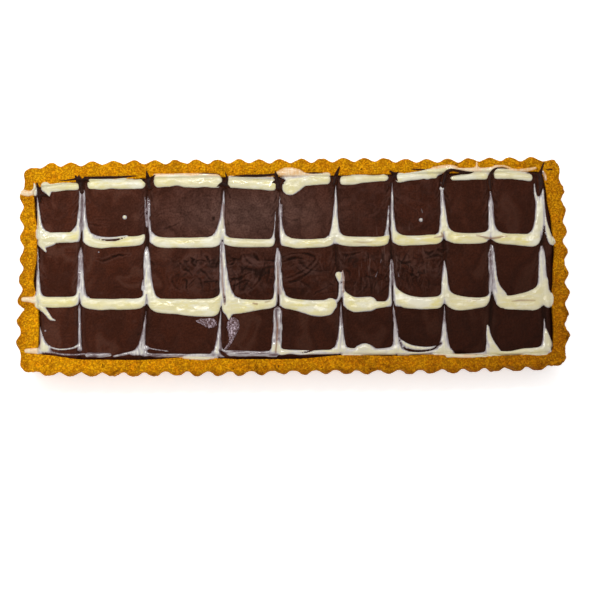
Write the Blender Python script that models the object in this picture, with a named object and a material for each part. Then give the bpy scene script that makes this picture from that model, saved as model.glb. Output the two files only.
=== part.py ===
"""Rectangular chocolate tart: a fluted pastry case, a ganache filling and four feathered icing lines.

Metres, +Z up. The origin is the centre of the underside, and +X runs along the long side.
"""

import math

import bmesh
import bpy
from mathutils import Vector

# The whole tart, measured over the crests of the flutes
LENGTH = 0.350
WIDTH = 0.138
HEIGHT = 0.025

# Pastry case
FLUTE_DEPTH = 0.0028
FLUTES_LONG_SIDE = 24
FLUTES_SHORT_SIDE = 8
FLUTE_PITCH = 0.01345
POINTS_PER_FLUTE = 5
CORNER_RADIUS = 0.0040
CORNER_STEPS = 4
WALL = 0.0074
WALL_SLOPE_INSIDE = 0.0012
DRAFT = 0.0026
FOOT_BEVEL = 0.0010
RIM_ROUNDING = 0.0022
BASE_THICKNESS = 0.0050

# Filling
GAP = 0.0004
FILLING_LEVEL = HEIGHT - 0.0016
FILLING_CORNER = 0.0050
FILLING_EDGE = 0.0007
BEVEL_STEPS = 4

# Icing lines, laid on the filling and dragged towards +Y by ten strokes of a knife
ICING_CLEARANCE = 0.0003
ICING_SHOULDER = 0.0006
ICING_CROWN = 0.0009
ICING_EDGE = 0.0008
STROKES = [-0.1620, -0.1345, -0.0925, -0.0446, -0.0085, 0.0280, 0.0636, 0.0968, 0.1275, 0.1605]
STROKE_STEPS = [-0.0050, -0.0022, -0.0009, 0.0, 0.0009, 0.0022, 0.0050]
FINGER_WIDTH = 0.0017
NOTCH_DEPTH = 0.0060
NOTCH_WIDTH = 0.0015

# Each line: how far the knife pulls it, then the middle and the thickness of its stretch between each
# two strokes, in millimetres
ICING_LINES = {
    "icing_line_top": (0.0, [
        (54.4, 6.3), (54.6, 6.6), (55.0, 6.4), (54.1, 7.2), (55.2, 6.0),
        (55.2, 5.8), (55.0, 6.4), (55.8, 4.6), (55.0, 6.2),
    ]),
    "icing_line_upper": (0.031, [
        (19.8, 6.9), (16.0, 6.2), (15.5, 7.0), (14.7, 5.8), (13.8, 6.3),
        (15.0, 6.9), (15.4, 7.5), (16.2, 7.2), (14.2, 7.9),
    ]),
    "icing_line_lower": (0.031, [
        (-22.3, 7.0), (-23.6, 7.4), (-26.2, 10.9), (-25.6, 7.4), (-27.2, 10.3),
        (-25.5, 9.7), (-25.7, 7.4), (-26.8, 9.4), (-25.9, 10.0),
    ]),
    "icing_line_bottom": (0.017, [
        (-53.4, 3.9), (-55.0, 4.1), (-55.8, 3.8), (-55.9, 4.4), (-55.2, 4.1),
        (-55.0, 5.6), (-55.0, 5.5), (-56.2, 3.2), (-55.8, 3.8),
    ]),
}

# Principled BSDF values: base colour, roughness
PASTRY = ((0.60, 0.27, 0.04), 0.85)
GANACHE = ((0.050, 0.018, 0.012), 0.30)
ICING = ((0.83, 0.78, 0.50), 0.35)

MM = 0.001
HALF_X = LENGTH / 2 - FLUTE_DEPTH
HALF_Y = WIDTH / 2 - FLUTE_DEPTH


def clear_scene():
    for item in list(bpy.data.objects):
        bpy.data.objects.remove(item)


def make_material(name, finish):
    colour, roughness = finish
    material = bpy.data.materials.new(name)
    material.use_nodes = True
    shader = material.node_tree.nodes["Principled BSDF"]
    shader.inputs["Base Color"].default_value = (*colour, 1.0)
    shader.inputs["Roughness"].default_value = roughness
    shader.inputs["Metallic"].default_value = 0.0
    return material


def add_object(bm, name, material, collection):
    """Turn a finished bmesh into a smooth-shaded object with hard edges kept."""
    bmesh.ops.recalc_face_normals(bm, faces=bm.faces)
    mesh = bpy.data.meshes.new(name)
    bm.to_mesh(mesh)
    bm.free()
    mesh.shade_smooth()
    mesh.set_sharp_from_angle(angle=math.radians(40))
    mesh.materials.append(material)
    item = bpy.data.objects.new(name, mesh)
    collection.objects.link(item)
    return item


def loft(rings):
    """Join equal rings of points into one skin, and close its two ends."""
    bm = bmesh.new()
    verts = [[bm.verts.new(point) for point in ring] for ring in rings]
    count = len(rings[0])
    for lower, upper in zip(verts, verts[1:]):
        for i in range(count):
            j = (i + 1) % count
            bm.faces.new((lower[i], lower[j], upper[j], upper[i]))
    bm.faces.new(reversed(verts[0]))
    bm.faces.new(verts[-1])
    return bm


def flute_crest(share):
    """Height of a flute from 0 in its valleys to 1 on its crest, at a share of its pitch."""
    return 0.5 - 0.5 * math.cos(2 * math.pi * share)


def case_outline():
    """Stations once round the case, counter-clockwise: (point, outward direction, crest height)."""
    stations = []
    for side in range(4):
        angle = side * math.pi / 2
        outward = Vector((math.cos(angle), math.sin(angle)))
        along = Vector((-outward.y, outward.x))
        is_long_side = side % 2 == 1
        reach, half_run = (HALF_Y, HALF_X) if is_long_side else (HALF_X, HALF_Y)
        flutes = FLUTES_LONG_SIDE if is_long_side else FLUTES_SHORT_SIDE
        start = -flutes * FLUTE_PITCH / 2
        for i in range(flutes * POINTS_PER_FLUTE):
            share = (i + 0.5) / POINTS_PER_FLUTE
            point = outward * reach + along * (start + share * FLUTE_PITCH)
            stations.append((point, outward, flute_crest(share)))
        centre = outward * (reach - CORNER_RADIUS) + along * (half_run - CORNER_RADIUS)
        for i in range(CORNER_STEPS + 1):
            turn = angle + i / CORNER_STEPS * math.pi / 2
            direction = Vector((math.cos(turn), math.sin(turn)))
            stations.append((centre + direction * CORNER_RADIUS, direction, 0.0))
    return stations


def case_ring(stations, z, shrink, crest_share):
    """One ring of the case: the outline drawn in by shrink, with its flutes at a share of their depth."""
    ring = []
    for point, outward, crest in stations:
        x = point.x * (HALF_X - shrink) / HALF_X
        y = point.y * (HALF_Y - shrink) / HALF_Y
        push = outward * (crest * crest_share * FLUTE_DEPTH)
        ring.append((x + push.x, y + push.y, z))
    return ring


def make_case(collection):
    """The baked case: fluted drafted wall outside, soft rim, plain wall and floor inside."""
    profile = [  # height, drawn in by, share of the flutes left
        (0.0, DRAFT + FOOT_BEVEL, 0.8),
        (FOOT_BEVEL, DRAFT, 1.0),
        (HEIGHT - RIM_ROUNDING, 0.0, 1.0),
        (HEIGHT - RIM_ROUNDING / 4, RIM_ROUNDING / 3, 0.75),
        (HEIGHT, WALL * 0.45, 0.25),
        (HEIGHT - RIM_ROUNDING / 8, WALL * 0.75, 0.0),
        (FILLING_LEVEL, WALL, 0.0),
        (BASE_THICKNESS, WALL + WALL_SLOPE_INSIDE, 0.0),
    ]
    stations = case_outline()
    rings = [case_ring(stations, z, shrink, crest_share) for z, shrink, crest_share in profile]
    material = make_material("baked_pastry", PASTRY)
    return add_object(loft(rings), "pastry_case", material, collection)


def make_filling(collection):
    """The set ganache: a block with rounded corners that fills the case and tapers with its wall."""
    top = WALL + GAP
    bottom = WALL + WALL_SLOPE_INSIDE + GAP
    low = BASE_THICKNESS + GAP
    bm = bmesh.new()
    bmesh.ops.create_cube(bm, size=2.0)
    for vert in bm.verts:
        shrink = top if vert.co.z > 0 else bottom
        z = FILLING_LEVEL if vert.co.z > 0 else low
        x = math.copysign(HALF_X - shrink, vert.co.x)
        y = math.copysign(HALF_Y - shrink, vert.co.y)
        vert.co = (x, y, z)
    upright = [e for e in bm.edges if abs(e.verts[0].co.z - e.verts[1].co.z) > HEIGHT / 2]
    bmesh.ops.bevel(
        bm, geom=upright, offset=FILLING_CORNER, segments=BEVEL_STEPS, profile=0.5, affect="EDGES"
    )
    upper = [e for e in bm.edges if min(v.co.z for v in e.verts) > FILLING_LEVEL - GAP]
    bmesh.ops.bevel(bm, geom=upper, offset=FILLING_EDGE, segments=2, profile=0.5, affect="EDGES")
    material = make_material("dark_ganache", GANACHE)
    return add_object(bm, "ganache_filling", material, collection)


def between_strokes(values, x):
    """Blend a list of per-stretch values smoothly along the tart at x."""
    middles = [(a + b) / 2 for a, b in zip(STROKES, STROKES[1:])]
    if x <= middles[0]:
        return values[0]
    for i in range(len(middles) - 1):
        if x < middles[i + 1]:
            share = (x - middles[i]) / (middles[i + 1] - middles[i])
            smooth = share * share * (3 - 2 * share)
            return values[i] + (values[i + 1] - values[i]) * smooth
    return values[-1]


def icing_columns():
    """Places along the tart where an icing line gets a section: close together at each stroke."""
    end = HALF_X - WALL - GAP - ICING_EDGE
    columns = [-end, end]
    columns += [stroke + step for stroke in STROKES for step in STROKE_STEPS]
    columns += [(a + b) / 2 for a, b in zip(STROKES, STROKES[1:])]
    return sorted(x for x in columns if abs(x) <= end)


def icing_section(x, pull, stretches):
    """Cross-section of an icing line at x, five points on a low dome."""
    middle = between_strokes([centre for centre, _ in stretches], x) * MM
    thickness = between_strokes([thick for _, thick in stretches], x) * MM
    finger = sum(pull * math.exp(-abs(x - stroke) / FINGER_WIDTH) for stroke in STROKES)
    notch = sum(NOTCH_DEPTH * math.exp(-abs(x - stroke) / NOTCH_WIDTH) for stroke in STROKES)
    limit = HALF_Y - WALL - GAP - ICING_EDGE
    high = min(middle + thickness / 2 + finger, limit)
    low = max(middle - thickness / 2 + min(notch, thickness / 2), -limit)
    edge = min(ICING_EDGE, (high - low) / 4)
    foot = FILLING_LEVEL + ICING_CLEARANCE
    return [
        (x, low, foot),
        (x, high, foot),
        (x, high - edge, foot + ICING_SHOULDER),
        (x, (low + high) / 2, foot + ICING_CROWN),
        (x, low + edge, foot + ICING_SHOULDER),
    ]


def make_icing(collection):
    """The piped white lines, pulled out into a finger at each stroke."""
    material = make_material("white_icing", ICING)
    for name, (pull, stretches) in ICING_LINES.items():
        sections = [icing_section(x, pull, stretches) for x in icing_columns()]
        add_object(loft(sections), name, material, collection)


def main():
    clear_scene()
    collection = bpy.data.collections.new("chocolate_tart")
    bpy.context.scene.collection.children.link(collection)
    make_case(collection)
    make_filling(collection)
    make_icing(collection)


main()
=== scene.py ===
"""The looks of a rectangular chocolate tart: fluted crust, dark ganache and four lines of feathered icing.

Lengths in this file are in millimetres unless a name says otherwise; meshes are written in metres.
+X runs along the tart, +Y is the edge that the knife was dragged towards.
"""

import math

import bpy
import numpy as np
from mathutils import Euler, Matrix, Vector
from mathutils.bvhtree import BVHTree


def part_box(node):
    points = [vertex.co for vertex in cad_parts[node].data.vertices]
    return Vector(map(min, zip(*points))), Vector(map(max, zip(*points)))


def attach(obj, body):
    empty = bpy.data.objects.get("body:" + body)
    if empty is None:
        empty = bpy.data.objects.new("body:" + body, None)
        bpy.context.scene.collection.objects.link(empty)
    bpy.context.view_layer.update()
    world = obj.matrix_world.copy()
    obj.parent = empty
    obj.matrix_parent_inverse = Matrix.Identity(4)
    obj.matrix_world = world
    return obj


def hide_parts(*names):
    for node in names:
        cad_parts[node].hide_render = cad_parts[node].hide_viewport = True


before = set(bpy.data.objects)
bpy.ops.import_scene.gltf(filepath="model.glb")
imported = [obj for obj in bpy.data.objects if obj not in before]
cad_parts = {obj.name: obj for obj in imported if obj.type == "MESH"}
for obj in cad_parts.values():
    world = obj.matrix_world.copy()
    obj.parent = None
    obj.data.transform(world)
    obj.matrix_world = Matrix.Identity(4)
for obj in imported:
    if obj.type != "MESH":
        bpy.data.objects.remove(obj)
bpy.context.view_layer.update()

MM = 0.001
SEED = 20
CASE_LOW, CASE_HIGH = (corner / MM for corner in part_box("pastry_case"))
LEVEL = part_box("ganache_filling")[1].z / MM
RIM = CASE_HIGH.z

# Crust: flutes as the tin presses them
FLUTE_DEPTH = 2.8
FLUTES_LONG = 24
FLUTES_SHORT = 8
FLUTE_PITCH = 13.54
STEPS_PER_FLUTE = 14
CORNER_RADIUS = 4.4
CORNER_LOBE = 0.22
CORNER_STEPS = 8
FLAT_STEPS = 9
DRAFT = 2.6
FLOOR = 5.0
RIM_SHOULDER = 2.0
WALL_STEPS = 20
SHOULDER_STEPS = 5
RIM_STEPS = 18
HALF_X = CASE_HIGH.x - FLUTE_DEPTH
HALF_Y = CASE_HIGH.y - FLUTE_DEPTH

# The flutes of the right, far, left and near side: how sharp they are, and how much they differ
SHARPNESS = [0.95, 0.85, 0.95, 1.35]
UNEVENNESS = [0.12, 0.07, 0.09, 0.14]

# How far each side bows outwards at even steps along it, near to far or left to right
BOWS = {
    "right": [-0.8, 0.4, 1.4, 1.6, 1.8, 1.7, 0.9],
    "left": [-0.7, 0.0, 0.0, -0.6, -0.5, 0.3, -0.2],
    "far": [-0.4, 1.0, 2.0, 1.9, 1.4, 1.2, 1.5, 1.6, 0.3, 0.4, 0.7, 0.6],
    "near": [-0.5, 0.0, 0.9, 0.8, 1.2, 1.1, 1.0, 1.6, 1.6, 1.3, 0.7, -0.2],
}

# The rim's inner edge at even steps along each side, near to far or left to right
INNER_EDGES = {
    "right": [164.2, 165.2, 165.0, 166.4, 168.0, 167.0, 164.8, 162.8],
    "left": [-161.6, -161.2, -161.8, -165.2, -163.6, -163.6, -165.4, -166.4],
    "far": [53.6, 57.4, 58.6, 59.0, 58.6, 58.8, 59.2, 59.4, 59.8, 59.8],
    "near": [-55.6, -59.2, -59.8, -58.4, -60.2, -60.4, -58.4, -59.2, -58.4, -60.0, -59.0],
}

# A nick in the left side of the rim, all of it beyond NICK_X
NICK_X = -160.0
NICK_Y = -26.5
NICK_WIDTH = 1.6
NICK_DEPTH = 1.7

# Ganache
GANACHE_STEP = 0.68
GANACHE_INSET = 6.5
GANACHE_SIDES = 12.0

# Knife strokes: where each one crosses the far, upper, lower and near line
STROKE_HEIGHTS = [-55, -25, 15, 57]
STROKES = [
    (-159, -162, -163, -164),
    (-135, -135.5, -135.2, -135),
    (-95, -92.8, -93, -92.4),
    (-47.4, -45.4, -44.7, -43.2),
    (-9.6, -9.5, -9, -7),
    (30.4, 30.8, 27.4, 29),
    (65.4, 63.9, 63.4, 65.4),
    (96, 96.5, 97.6, 97),
    (122.6, 127, 127.4, 128.6),
    (160, 159.2, 160, 160.4),
]

# Icing
ICING_STEP = 0.40
CRYSTAL_STEP = 0.25
ICING_HEIGHT = 1.25
ICING_SHOULDER = 3.2
ICING_SINK = 0.35
ICING_END = 176.0
ICING_CUTS_IN = 0.25  # how deep icing may press into a peak under it
THINNEST = 0.04
LIFT = 1000.0  # how far apart the two skins of a piece are kept until they are laid on the tart

# Stage, in metres and degrees; the lens is in millimetres
FLOOR_SIZE = 6.0
FLOOR_GAP = 0.0004
CAMERA_TILT = 9.53
CAMERA_ROLL = -0.74
CAMERA_DISTANCE = 0.85
CAMERA_AIM = (0.00476, -0.01856, 0)
SENSOR_WIDTH = 36.0
FOCAL_LENGTH = 77.92
WORLD_BRIGHTNESS = 0.72

# Area lights that face the middle of the tart: name, place, size, power and colour
LIGHTS = [
    ("strip", (-0.15, 0.62, 1.40), (1.1, 0.08), 9.0, (1.0, 0.99, 0.97)),
    ("softbox", (-0.9, 0.3, 1.2), (0.8, 0.8), 2.0, (1.0, 1.0, 1.0)),
    ("fill", (0.6, -0.8, 1.3), (1.2, 1.2), 1.0, (1.0, 1.0, 1.0)),
]


# ---------------------------------------------------------------- small tools


def soft_step(low, high, value):
    """0 below low, 1 above high, smooth between."""
    share = np.clip((value - low) / (high - low), 0, 1)
    return share * share * (3 - 2 * share)


def soft_noise(x, y, size, seed):
    """Smooth random heights from -1 to 1, with bumps about one size across."""
    count = 251
    lattice = np.random.default_rng(SEED + seed).uniform(-1, 1, (count, count))
    u, v = np.broadcast_arrays(x / size + 977.3, y / size + 991.7)
    i, j = np.floor(u).astype(int), np.floor(v).astype(int)
    a, b = soft_step(0, 1, u - i), soft_step(0, 1, v - j)
    i, j, i2, j2 = i % count, j % count, (i + 1) % count, (j + 1) % count
    near = lattice[i, j] * (1 - a) + lattice[i2, j] * a
    far = lattice[i, j2] * (1 - a) + lattice[i2, j2] * a
    return near * (1 - b) + far * b


def rough_noise(x, y, size, seed, layers):
    """Several sizes of noise added up, each half as large and half as strong as the last."""
    total = 0
    for layer in range(layers):
        total = total + soft_noise(x, y, size / 2**layer, seed + layer) / 2**layer
    return total / (2 - 2.0 ** (1 - layers))


def smooth_line(values, at):
    """Read values that are evenly spaced from -1 to 1 as one smooth line."""
    share = np.clip((at + 1) / 2, 0, 1) * (len(values) - 1)
    i = np.minimum(share.astype(int), len(values) - 2)
    t = soft_step(0, 1, share - i)
    values = np.asarray(values, float)
    return values[i] * (1 - t) + values[i + 1] * t


def four_sides(lines, u, v):
    """Read the right, left, far and near line at a place given from -1 to 1 both ways."""
    along = {"right": v, "left": v, "far": u, "near": u}
    return [smooth_line(lines[side], at) for side, at in along.items()]


def hump(distance, width):
    """1 where a distance is zero, falling away smoothly on both sides of it."""
    return np.exp(-((distance / width) ** 2))


def spot(x, y, middle_x, middle_y, wide, tall):
    """1 in the middle of an oval spot, falling away smoothly all round it."""
    return hump(x - middle_x, wide) * hump(y - middle_y, tall)


def stroke_x(number, y):
    """Where a knife stroke runs at each y."""
    return np.interp(y, STROKE_HEIGHTS, STROKES[number])


def deselect_all():
    if bpy.context.object and bpy.context.object.mode != "OBJECT":
        bpy.ops.object.mode_set(mode="OBJECT")
    bpy.ops.object.select_all(action="DESELECT")


def select_piece(piece):
    deselect_all()
    piece.select_set(True)
    bpy.context.view_layer.objects.active = piece


def select_only(piece, chosen, kind="VERT"):
    """Select some of a piece's vertices or faces, ready to edit."""
    select_piece(piece)
    bpy.ops.object.mode_set(mode="EDIT")
    bpy.ops.mesh.select_mode(type=kind)
    bpy.ops.mesh.select_all(action="DESELECT")
    bpy.ops.object.mode_set(mode="OBJECT")
    parts = piece.data.vertices if kind == "VERT" else piece.data.polygons
    parts.foreach_set("select", np.asarray(chosen, bool))
    bpy.ops.object.mode_set(mode="EDIT")


def name_new_piece(name):
    piece = bpy.context.object
    piece.name = name
    piece.data.name = name
    return piece


def read_vectors(items, key):
    flat = np.empty(len(items) * 3)
    items.foreach_get(key, flat)
    return flat.reshape(-1, 3)


def read_points(piece):
    """The piece's vertices in millimetres."""
    return read_vectors(piece.data.vertices, "co") / MM


def write_points(piece, points):
    piece.data.vertices.foreach_set("co", (np.asarray(points) * MM).ravel())
    piece.data.update()


def store(piece, name, values):
    """Keep one number for each vertex, for the piece's material to read."""
    attribute = piece.data.attributes.new(name, "FLOAT", "POINT")
    attribute.data.foreach_set("value", np.asarray(values, np.float32))


def recall(piece, name):
    """The numbers that store kept."""
    values = np.empty(len(piece.data.vertices), np.float32)
    piece.data.attributes[name].data.foreach_get("value", values)
    return values.astype(float)


def finish_piece(piece, material, slot, *nodes):
    """Shade a piece smooth, give it its material and hand it to the frame."""
    select_piece(piece)
    bpy.ops.object.shade_smooth()
    piece.data.materials.clear()
    piece.data.materials.append(material)
    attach(piece, "root")
    if nodes:
        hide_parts(*nodes)
    return piece


# ---------------------------------------------------------------- crust


def flute_height(share, sharpness):
    """How far a flute stands out at a share of its pitch: 0 in the valleys, 1 on the crest."""
    wave = 0.5 - 0.5 * math.cos(2 * math.pi * share)
    return wave**sharpness


def direction(angle):
    return np.array([math.cos(angle), math.sin(angle)])


def side_stations(side, rng):
    """Stations along one side and round the corner after it: (place, outward direction, flute height)."""
    angle = side * math.pi / 2
    out, along = direction(angle), direction(angle + math.pi / 2)
    long_side = side % 2 == 1
    reach, half_run = (HALF_Y, HALF_X) if long_side else (HALF_X, HALF_Y)
    flutes = FLUTES_LONG if long_side else FLUTES_SHORT
    fluted = flutes * FLUTE_PITCH / 2
    corner = half_run - CORNER_RADIUS
    flats = [i / FLAT_STEPS for i in range(FLAT_STEPS)]
    runs = [(-corner + (corner - fluted) * share, CORNER_LOBE * (1 - share) ** 1.5) for share in flats]
    for flute in range(flutes):
        strength = 1 + UNEVENNESS[side] * rng.uniform(-1, 1)
        lean = rng.uniform(-0.05, 0.05)
        for i in range(STEPS_PER_FLUTE):
            share = i / STEPS_PER_FLUTE
            leaned = share + lean * math.sin(math.pi * share) ** 2
            crest = strength * flute_height(leaned, SHARPNESS[side])
            runs.append((-fluted + (flute + share) * FLUTE_PITCH, crest))
    runs += [(fluted + (corner - fluted) * share, CORNER_LOBE * share**1.5) for share in flats]
    stations = [(out * reach + along * run, out, crest) for run, crest in runs]
    centre = out * (reach - CORNER_RADIUS) + along * corner
    for i in range(CORNER_STEPS):
        turned = direction(angle + i / CORNER_STEPS * math.pi / 2)
        stations.append((centre + turned * CORNER_RADIUS, turned, CORNER_LOBE))
    return stations


def crust_stations():
    """Once round the case at the level of the valleys: places, outward directions and flute heights."""
    rng = np.random.default_rng(SEED)
    stations = [station for side in range(4) for station in side_stations(side, rng)]
    return [np.array(column) for column in zip(*stations)]


def bowed(places):
    """The stations moved out to where the baked sides bow."""
    u, v = places[:, 0] / HALF_X, places[:, 1] / HALF_Y
    right, left, far, near = four_sides(BOWS, u, v)
    by_x = np.where(u > 0, right, -left) * soft_step(0.85, 0.97, abs(u))
    by_y = np.where(v > 0, far, -near) * soft_step(0.7, 0.93, abs(v))
    return places + np.stack([by_x, by_y], 1)


def inner_outline(places):
    """The rim's wavy inner edge, matched point for point to the outer stations."""
    u, v = places[:, 0] / HALF_X, places[:, 1] / HALF_Y
    right, left, far, near = four_sides(INNER_EDGES, u, v)
    return np.stack([np.where(u > 0, u * right, -u * left), np.where(v > 0, v * far, -v * near)], 1)


def to_inner_edge(x, y):
    """Distance from the rim's wavy inner edge: positive over the filling, negative over the crust."""
    right, left, far, near = four_sides(INNER_EDGES, x / HALF_X, y / HALF_Y)
    return np.minimum.reduce([right - x, x - left, far - y, y - near])


def crust_profile():
    """From the middle of the underside, up the wall, over the rim and down to the middle of the floor.

    Each step holds the share of the way to the inner edge, the scale towards the centre, the height,
    the share of the flutes and how far it is drawn in.
    """
    steps = [(0, scale, 0, 0, DRAFT + 1.2) for scale in (0, 0.25, 0.5, 0.7, 0.85, 0.95)]
    steps += [(0, 1, 0, 0.8, DRAFT + 1.0), (0, 1, 0.35, 0.92, DRAFT + 0.4)]
    foot, wall_top = 1.0, RIM - RIM_SHOULDER
    for i in range(WALL_STEPS + 1):
        share = i / WALL_STEPS
        steps.append((0, 1, foot + (wall_top - foot) * share, 1, DRAFT * (1 - share)))
    for i in range(1, SHOULDER_STEPS + 1):
        turn = i / SHOULDER_STEPS * math.pi / 2
        rounding = 1 - math.cos(turn)
        steps.append((0, 1, wall_top + 1.85 * math.sin(turn), 1 - 0.08 * rounding, 0.9 * rounding))
    for i in range(1, RIM_STEPS + 1):
        share = i / RIM_STEPS
        crown = math.sin(math.pi * min(1.0, share * 1.1) ** 0.8)
        height = RIM - 0.15 + 0.15 * crown - 0.25 * share
        steps.append((share, 1, height, 0.92 * (1 - share) ** 1.2, 0.9 * (1 - share)))
    for share, drop in ((1.015, 0.85), (1.02, 1.4), (1.025, 2.2), (1.06, 4.5)):
        steps.append((share, 1, RIM - drop, 0, 0))
    steps.append((1.12, 1, FLOOR + 1.0, 0, 0))
    steps += [(1.2, scale, FLOOR, 0, 0) for scale in (1, 0.6, 0)]
    return np.array(steps)


def running_length(steps):
    """How far along a run each of its points lies, from the steps between them."""
    return np.concatenate([[0], np.cumsum(np.hypot(*steps.T))])


def meridians_and_rings(ball, count, rings):
    """The meridian and the ring that each point of a unit ball is on, counted from its lowest point."""
    turn = np.arctan2(ball[:, 1], ball[:, 0]) / (2 * np.pi)
    rise = np.arccos(np.clip(-ball[:, 2], -1, 1)) / np.pi
    return np.round(turn * count).astype(int) % count, np.round(rise * (rings - 1)).astype(int)


def crumb_lift(along, across, rugged):
    """How far a slow swell, crumbs and small holes push the skin of the crust out or in."""
    swell = rough_noise(along, across, 16, 1, 2) * 0.35
    crumbs = rough_noise(along, across, 2.6, 5, 3) * 0.38
    holes = np.minimum(rough_noise(along, across, 3.8, 9, 2) + 0.35, 0) * 0.9
    return swell + (crumbs + holes) * rugged


def make_crust(material):
    """The baked case. A ball's rings become the profile, and its meridians run round the outline."""
    places, outwards, crests = crust_stations()
    inner = inner_outline(places)
    places = bowed(places)
    profile = crust_profile()
    deselect_all()
    bpy.ops.mesh.primitive_uv_sphere_add(segments=len(places), ring_count=len(profile) - 1, radius=1.0)
    crust = name_new_piece("fluted_crust")
    station, ring = meridians_and_rings(read_points(crust) * MM, len(places), len(profile))
    share, scale, height, flutes, drawn = profile[ring].T
    crest = crests[station]
    outer = places[station] + outwards[station] * (crest * flutes * FLUTE_DEPTH - drawn)[:, None]
    flat = (outer + (inner[station] - places[station]) * share[:, None]) * scale[:, None]
    points = np.column_stack([flat, height])
    on_left_rim = (points[:, 0] < NICK_X) * np.clip(1 - share * 1.6, 0, 1)
    points[:, 0] += NICK_DEPTH * hump(points[:, 1] - NICK_Y, NICK_WIDTH) * on_left_rim
    write_points(crust, points)

    along = running_length(np.diff(places, axis=0))[station]
    across = running_length(np.diff(profile[:, [0, 2]], axis=0) * (8, 1))[ring]
    near = 1 - soft_step(-0.9, 0.2, points[:, 1] / HALF_Y)
    right = soft_step(0.9, 0.98, points[:, 0] / HALF_X)
    rugged = 1 + 0.9 * np.maximum(near, 0.7 * right) * np.clip(1.4 - share * 1.6, 0, 1)
    lift = crumb_lift(along, across, rugged) * (share <= 1.0) * (scale > 0.9)
    points += read_vectors(crust.data.vertex_normals, "vector") * lift[:, None]
    points[:, 2] = np.clip(points[:, 2], 0, RIM)
    write_points(crust, points)

    # Darker on the underside and along the rim's outer edge as baked browning, darker towards the left end,
    # in random patches; the extra dark on the near side's flute crests is painted shade.
    edge = np.clip(1 - share * 3.2, 0, 1) * (height > 2)
    left = soft_step(0.94, 0.99, -points[:, 0] / HALF_X)
    browning_and_shade = edge * (0.1 + crest * near) + 0.5 * (height < 2) + 0.45 * left
    browning_and_shade = browning_and_shade + 0.45 * rough_noise(along, across, 9, 14, 3)
    store(crust, "browning_and_shade", np.clip(browning_and_shade, 0, 1))
    # Painted shade in the dents of the crumb.
    store(crust, "dent_shade", np.clip(-lift * 1.8, 0, 1))
    return finish_piece(crust, material, "pastry", "pastry_case")


# ---------------------------------------------------------------- ganache

# Soft patches of painted sheen (light reflected off the ganache) and of scratches: (x, y, reach along x,
# reach along y)
PAINTED_SHEEN_PATCH = (-28, 33, 50, 17)
SCRATCHED = (62, 2, 34, 22)

# Pits and specks in the ganache: (x, y, reach along x, reach along y, height)
PITS = [
    (-50.1, 31.4, 1, 1.4, -0.9),
    (-97.7, -43.2, 0.9, 0.7, -0.8),
    (-100.6, -34.8, 1.2, 0.9, 0.35),
    (36.7, -46.2, 0.8, 0.6, 0.3),
    (-121.8, -16.5, 1.8, 1, 0.3),
    (3, 29.5, 2.4, 1.3, -0.5),
    (-63.5, 2, 1.6, 1.6, 0.3),
    (109.6, -35.9, 0.9, 0.6, 0.6),
    (116.5, -35.7, 0.8, 0.6, 0.6),
]

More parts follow.
